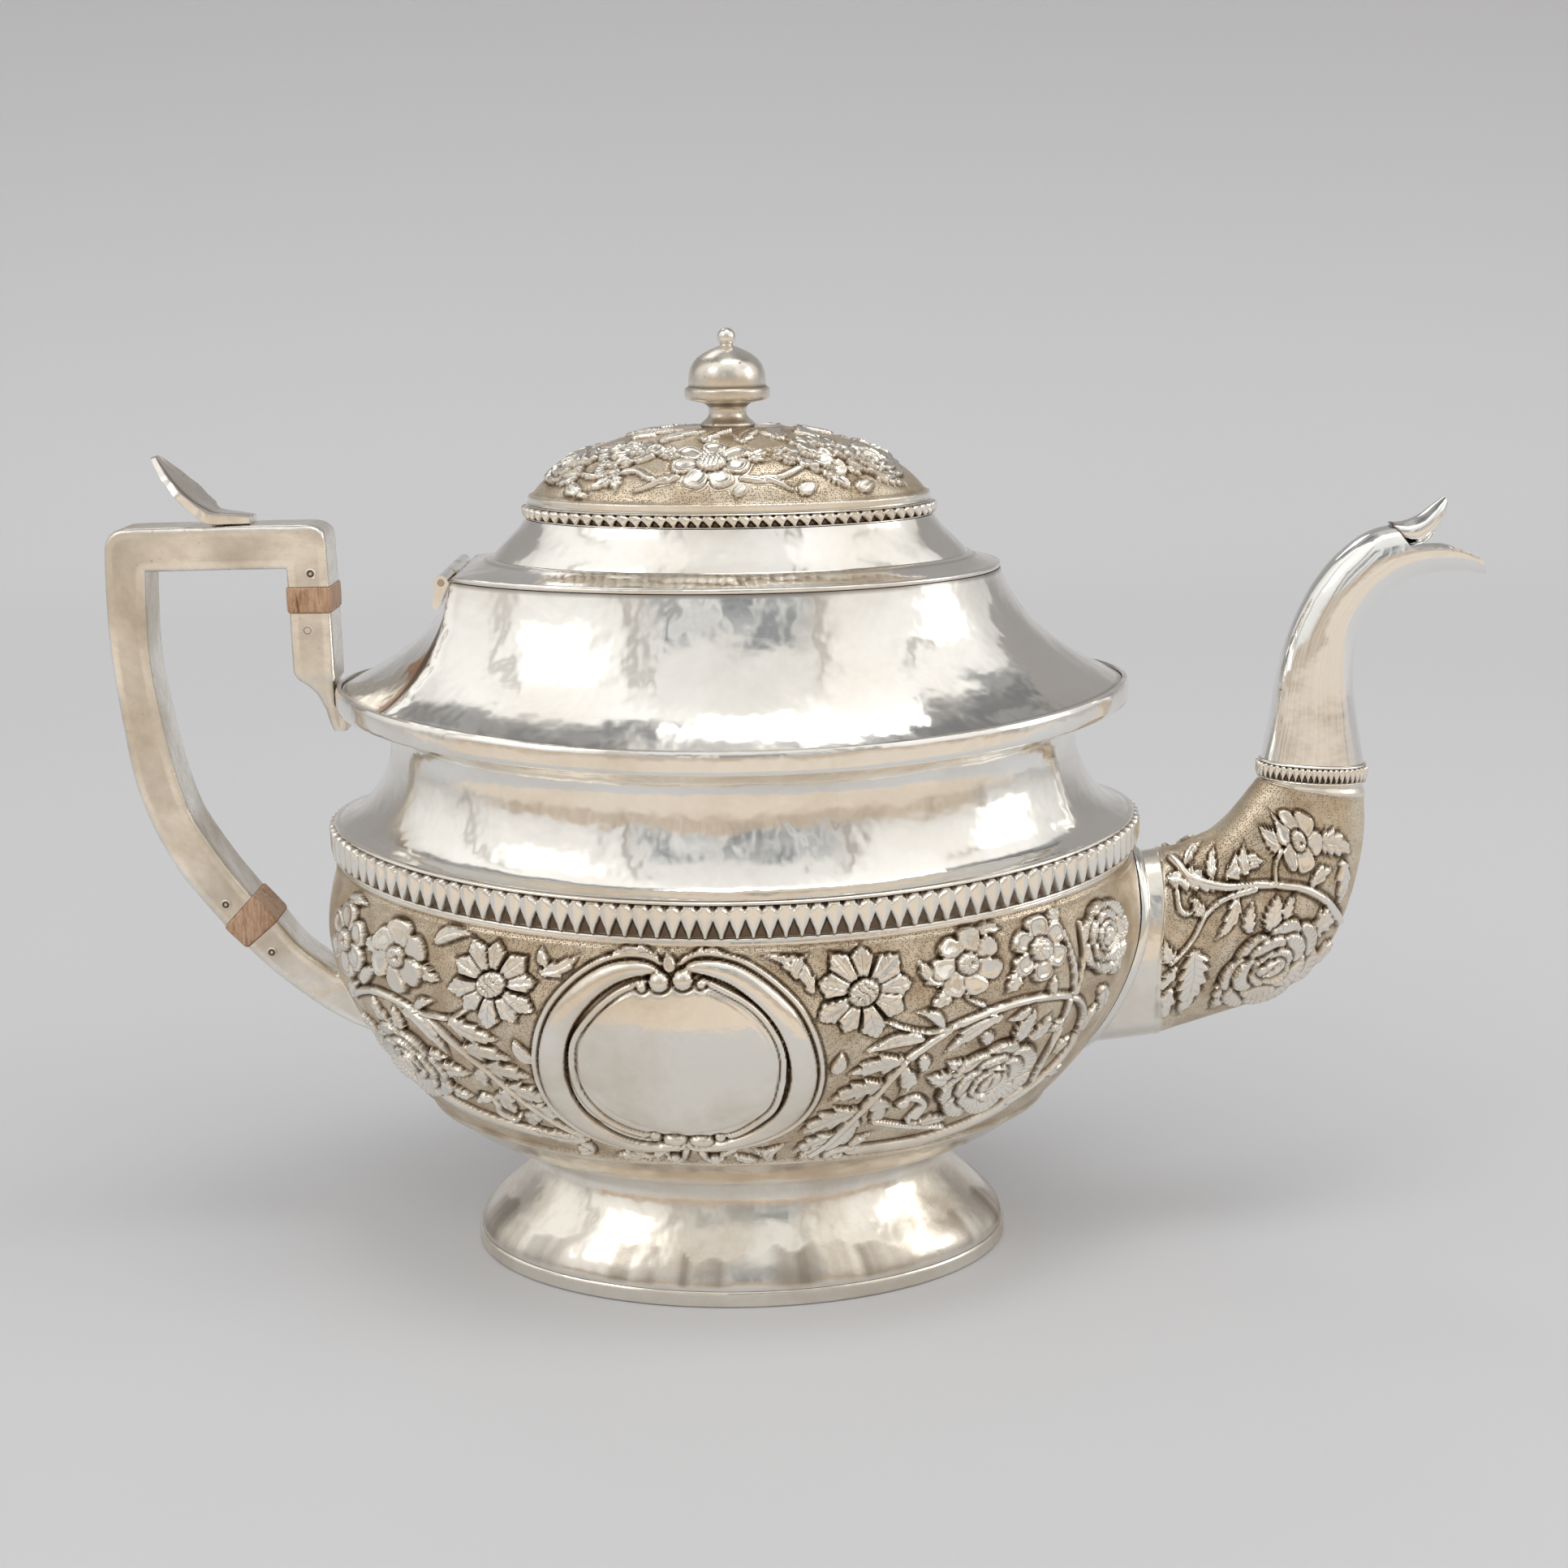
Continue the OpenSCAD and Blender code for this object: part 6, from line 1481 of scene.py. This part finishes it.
# outer x and z, how far the inner edge is behind the arm's front, its z, and the width, from the arm down
upper_socket = [((x, z), (-ARM_X - back, zi), w) for x, z, back, zi, w in (
    (-ARM_X, 129.2, 8, 129.2, 10.), (-ARM_X, 119.6, 8, 119.6, 10.), (-ARM_X, 117.6, 8, 117.6, 9.7),
    (-ARM_X - .02, 116.2, 6.9, 116, 9.1), (RIM, 115.5, 5.9, 115.4, 8.8), (RIM, 113.4, 4, 113.4, 8.),
    (RIM, 110.9, 2.7, 110.7, 7.1), (RIM + 1.9, 110.4, 2.6, 110.5, 7.), (RIM + 2, 107.6, 2, 107.6, 6.4),
    (RIM + 1.7, 105.9, 1.4, 105.9, 5.6))]
put(bar_skin("socket_upper", upper_socket, seed=7, rough=.02, n=40), M_HANDLE, "pot", ["upper_socket"])


def on_bowl(z, gap=.25):
    """a place behind the bowl's end at height z"""
    return [-(float(np.interp(z, bowl_c[:, 1], bowl_c[:, 0])) + gap), z]


lower_socket = [low_b, [[-GRIP_X + 26.6, 57.8], [-GRIP_X + 31.6, 63.3]],
                [[-GRIP_X + 31.1, 53.9], [-GRIP_X + 35.8, 59.6]],
                [[-GRIP_X + 35.6, 50.4], [on_bowl(57, 1.4)[0], 57.5]],
                [[-GRIP_X + 40.4, 47.5], on_bowl(57)], [[-GRIP_X + 43.4, 46], on_bowl(53)],
                [on_bowl(44.8), on_bowl(47.8)]]
put(bar_skin("socket_lower", [(a, b, 10.) for a, b in lower_socket], seed=9, n=46), M_HANDLE, "pot",
    ["lower_socket"])


def insulator(name, a, b, node, w=10.5):
    """a block between two cuts of the bar, each an outer and an inner place, a little full in the middle"""
    r0, r1 = (round_bar(*cut, w, e=.8)[0] for cut in (a, b))
    rings = []
    for u, scale in ((0, .93), (.04, .985), (.1, 1.), (.3, 1.004), (.5, 1.006), (.7, 1.004), (.9, 1.),
                     (.96, .985), (1, .93)):
        c = mix(r0.mean(0), r1.mean(0), u)
        rings.append(c + (mix(r0, r1, u) - c) * scale)
    piece(name, rings, M_BONE, node, kind="caps", sharp=50)


def proud(cut, shift):
    """a cut of the bar with .25 more at both ends, moved along the bar"""
    d = unit(cut[1] - cut[0])
    n = np.array([d[1], -d[0]]) * shift
    return cut[0] - d * .25 + n, cut[1] + d * .25 + n


UPPER_BLOCK = [[[-ARM_X + .25, z], [-ARM_X - 8.25, z]] for z in (134.25, 129.25)]
insulator("insulator_upper", *UPPER_BLOCK, "upper_insulator")
insulator("insulator_lower", proud(low_a, .05), proud(low_b, -.05), "lower_insulator")


def thumb():
    """the leaf over the top of the grip, in rows of x, z, thickness, half width and cup"""
    st = np.array([[27.8, 0, 1.3, 3, 0], [25, 0, 1.7, 3.8, 0], [20.4, 0, 2.1, 5.2, .2], [17.6, 1.6, 1.7, 6.2,
        .7], [14.8, 4, 1.4, 7, 1.2], [12.4, 7, 1.2, 6.02, 1.1], [10.7, 10, 1., 3.92, .6],
                   [9.6, 12.4, .8, 1.4, .1]])
    p = spline(st + [-GRIP_X, GRIP_Z + .03, 0, 0, 0], 60)
    d = unit(np.gradient(p[:, :2], axis=0))
    flat = smooth((p[:, 0] - (17 - GRIP_X)) / 4)[:, None]
    out = unit(mix(np.stack([d[:, 1], -d[:, 0]], 1), np.array([0, 1.]), flat))
    rings, dirt_and_shade = [], []
    y = np.linspace(-1, 1, 17)
    ay = np.abs(y)
    for k, ((x, z, thick, half, cup), m) in enumerate(zip(p, out)):
        g = k / 59
        edge = 1 + .035 * math.sin(g * 34) * (g > .3)          # worked leaf edge
        lip = .35 * np.exp(-((ay - .93) / .09) ** 2) * (g > .3)
        vein = .22 * np.exp(-(y / .07) ** 2) * (g > .25)
        under = .15 * ay ** 6 * thick + cup * ay ** 1.6
        over = thick + cup * ay ** 1.6 + lip - vein * .6
        up, across = np.r_[under, over[::-1]], np.r_[y, y[::-1]]
        rings.append(np.stack([x + m[0] * up, across * half * edge, z + m[1] * up], 1))
        dirt_and_shade.append(np.r_[np.zeros(17), .15 + .5 * np.exp(-(y / .09) ** 2)])
    piece("thumb_leaf", rings, M_HANDLE, "thumb_rest", dirt_and_shade=dirt_and_shade, kind="caps", sharp=55)


thumb()


# middles of the pins as x, z
PINS = (-78.9, 136.8), (-80.2, 126.), (-99.7, 72.), (-91.4, 62.1)
# (r, way out from the last full round) of a solid and of a hollow pin's head
SOLID = (.98, -.3), (.98, -.1), (.86, 0), (.62, .02), (.5, -.12), (.36, .05), (.01, .07)
HOLLOW = (.98, -.3), (.98, -.1), (.86, 0), (.62, 0), (.52, -.3), (.5, -1.5), (.01, -1.6)


def pins():
    """silver pins through the handle, each with a worn ring round its head; the second is hollow"""
    t = np.linspace(0, 2 * PI, 40, endpoint=False)
    obs = []
    for k, (x, z) in enumerate(PINS):
        half, head, dark = (5.02, HOLLOW, 1.6) if k == 1 else (5.3, SOLID, 1.)
        rows = [(r, -half - out) for r, out in head[::-1]] + [(r, half + out) for r, out in head]
        rings = [np.stack([x + r * np.cos(t), y + 0 * t, z + r * np.sin(t)], 1) for r, y in rows]
        dirt_and_shade = [np.clip(1 - abs(r - .5) / .3, 0, 1) * dark + 0 * t for r, y in rows]
        obs.append(loft("pin", rings, "caps", attrs=capped(dirt_and_shade), sharp=35))
    put(join("pin_heads", obs), M_HANDLE, "pot", ["handle_pins"])


pins()

# ---------------------------------------------------------------- CAD nodes that stay in view
OWN_LOOK = {"hinge_pin": M_DARK, "finial_nut": M_DARK, "mouth_collar": M_IN, "lid_bezel": M_IN,
            "upper_insulator": M_BONE, "lower_insulator": M_BONE}
for node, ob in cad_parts.items():
    ob.data.materials.clear()
    ob.data.materials.append(OWN_LOOK.get(node, M_BODY))

# ---------------------------------------------------------------- stage, light and camera
scene = bpy.context.scene


def paper():
    """faintly mottled, with painted shade that makes it darker where the sweep stands up"""
    m, n = new_mat("grey_paper")
    place = n("ShaderNodeTexCoord").outputs["Object"]
    mottle = n.noise(place, 3., 2.)
    height = n("ShaderNodeSeparateXYZ", {0: place}).outputs[2]
    col = n.mixc(mottle, (.72, .73, .76), (.74, .75, .775))
    # painted shade: the upright part of the sweep is darker than the floor
    col = n.mixc(n.ramp(height, [(0., 0.), (.7, 1.)]), col, (.475, .485, .51))
    n.surface({"Base Color": col, "Roughness": .9, "Specular IOR Level": .1})
    return m


def stage():
    """pale paper that sweeps up at the back; its front edge lies just out of sight"""
    ys = np.r_[np.linspace(-.17, .75, 5), .75 + .5 * np.sin(np.linspace(.1, PI / 2, 16)), np.full(6, 1.25)]
    zs = np.r_[np.zeros(5), .5 - .5 * np.cos(np.linspace(.1, PI / 2, 16)), np.linspace(.6, 2.4, 6)]
    xs = np.linspace(-2.6, 2.6, 9)
    co = [[x, y, z - .0001] for y, z in zip(ys, zs) for x in xs]
    k, n = len(ys), len(xs)
    q = [[j * n + i, j * n + i + 1, (j + 1) * n + i + 1, (j + 1) * n + i] for j in range(k - 1)
         for i in range(n - 1)]
    me = bpy.data.meshes.new("sweep")
    me.from_pydata(co, [], q)
    me.polygons.foreach_set("use_smooth", np.ones(len(q), bool))
    ob = bpy.data.objects.new("sweep", me)
    scene.collection.objects.link(ob)
    me.materials.append(paper())


stage()


def lamp(name, loc, target, size, bright, size_y=None, col=(1, 1, 1)):
    """soft box of even brightness"""
    l = bpy.data.lights.new(name, "AREA")
    l.shape = "RECTANGLE"
    l.size, l.size_y = size, size_y or size
    l.energy = bright * PI * l.size * l.size_y
    l.color = col
    o = bpy.data.objects.new(name, l)
    o.location = loc
    o.rotation_euler = (Vector(target) - Vector(loc)).to_track_quat("-Z", "Y").to_euler()
    scene.collection.objects.link(o)
    return o


# name, place, what it faces, width, brightness, length and colour
lamp("top_box", (.17, -.165, 1.25), (.17, -.165, 0), .66, 2.9, .27).rotation_euler = (0, 0, math.radians(20))
lamp("left_box", (-.85, -.72, .95), (0, 0, .08), .44, 1.6, .44, (1, .985, .96))
lamp("right_box", (1.1, -.3, .6), (0, 0, .08), .5, 1.5, .6, (1, .98, .95))
lamp("back_box", (-.5, .9, 1.3), (0, 0, .08), .5, 1.2, .5)


def studio():
    """bright tent all round, grey streaks where the photographer stands, brown room under the table"""
    w = bpy.data.worlds.new("studio")
    scene.world = w
    w.use_nodes = True
    w.node_tree.nodes.clear()
    n = Nodes(w.node_tree)
    x, y, z = n("ShaderNodeSeparateXYZ", {0: n("ShaderNodeTexCoord").outputs["Generated"]}).outputs
    # degrees round from the photographer and degrees up
    az = n.mul(n.math("ARCTAN2", x, n.mul(y, -1.)), 180 / PI)
    el = n.mul(n.math("ARCSINE", z), 180 / PI)
    aside = n.math("ABSOLUTE", az)

    def above(v, a, soft):
        r = n("ShaderNodeMapRange", {0: v, 1: a - soft, 2: a + soft, 3: 0., 4: 1.})
        r.interpolation_type = "SMOOTHSTEP"
        return r.outputs[0]

    def below(v, a, soft):
        return n.math("SUBTRACT", 1., above(v, a, soft))

    def between(v, a, b, soft):
        return n.mul(above(v, a, soft), below(v, b, soft))
    up = n.ramp(n.math("MULTIPLY_ADD", el, 1 / 180, .5), [(0., .30), (.47, .42), (.53, .66), (.62, .84),
                                                          (.8, .98), (1., 1.05)])
    around = n.ramp(n.mul(aside, 1 / 180), [(0., .84), (.12, .9), (.2, 1.1), (.5, 1.05), (.66, .7),
                                            (1., .52)])
    col = n.mixc(1., up, around, "MULTIPLY")
    col = n.mixc(1., col, (1., .985, .955), "MULTIPLY")
    # streaks: noise that changes fast round and slowly up
    v = n("ShaderNodeCombineXYZ", {0: n.mul(az, .22), 1: n.mul(el, .02)}).outputs[0]
    noise = n.noise(v, 1., 3., .6)
    streaks = n.ramp(noise, [(.42, (.15, .165, .185)), (.58, (.80, .80, .79))])
    col = n.mixc(n.mul(n.mul(between(az, -19, 20, 2.), between(el, 9, 36, 4.)), .92), col, streaks)
    # dark ceiling over the back of the table, its edge a little ragged
    lift = n.math("MULTIPLY_ADD", y, .87, n.mul(z, 1.172))
    lift = n.math("MULTIPLY_ADD", n.math("ABSOLUTE", x), -.298, lift)
    rag = n.noise(n("ShaderNodeTexCoord").outputs["Generated"], 5., 2.)
    lift = n.math("MULTIPLY_ADD", n.math("SUBTRACT", rag, .5), .22, lift)
    ceiling = n.mul(above(lift, .86, .035), above(n.math("ABSOLUTE", x), .14, .08))
    col = n.mixc(n.mul(ceiling, .88), col, n.mixc(n.ramp(rag, [(.42, 0.), (.6, 1.)]), (.13, .135, .145),
                                                  (.36, .36, .355)))
    # dark frames of the soft boxes beside the bright sides
    for a, b, f in ((-27, -23.5, .7), (23.5, 28, .75), (-74, -69, .5), (62, 68, .6)):
        col = n.mixc(n.mul(n.mul(between(az, a, b, 1.2), between(el, -12, 52, 6.)), f), col,
                     (.20, .165, .13))
    # the room under the edge of the table
    warm = n.mixc(n.ramp(noise, [(.3, 0.), (.7, 1.)]), (.34, .265, .20), (.78, .68, .57))
    col = n.mixc(n.mul(below(el, 9., 2.), below(aside, 62., 8.)), col, warm)
    col = n.mixc(n.mul(below(el, -3., 3.), .8), col, (.80, .71, .61))
    bg = n("ShaderNodeBackground", {"Strength": 1.04})
    n.t.links.new(col, bg.inputs[0])
    out = n("ShaderNodeOutputWorld")
    n.t.links.new(bg.outputs[0], out.inputs[0])


studio()

scene.view_settings.view_transform = "Standard"
PHOTO_WIDTH = 1932      # pixels
FOCAL_LENGTH = 2600     # pixels
SENSOR = 36             # mm
cam = bpy.data.cameras.new("camera")
cam.sensor_width = SENSOR
cam.lens = FOCAL_LENGTH / PHOTO_WIDTH * SENSOR
cam.clip_start = .01
cam.clip_end = 20
eye = bpy.data.objects.new("camera", cam)
scene.collection.objects.link(eye)
tilt, roll = (Matrix.Rotation(math.radians(a), 4, axis) for a, axis in ((76, "X"), (-.7, "Z")))
eye.matrix_world = Matrix.Translation((-.0033, -.4001, .1934)) @ tilt @ roll
scene.camera = eye
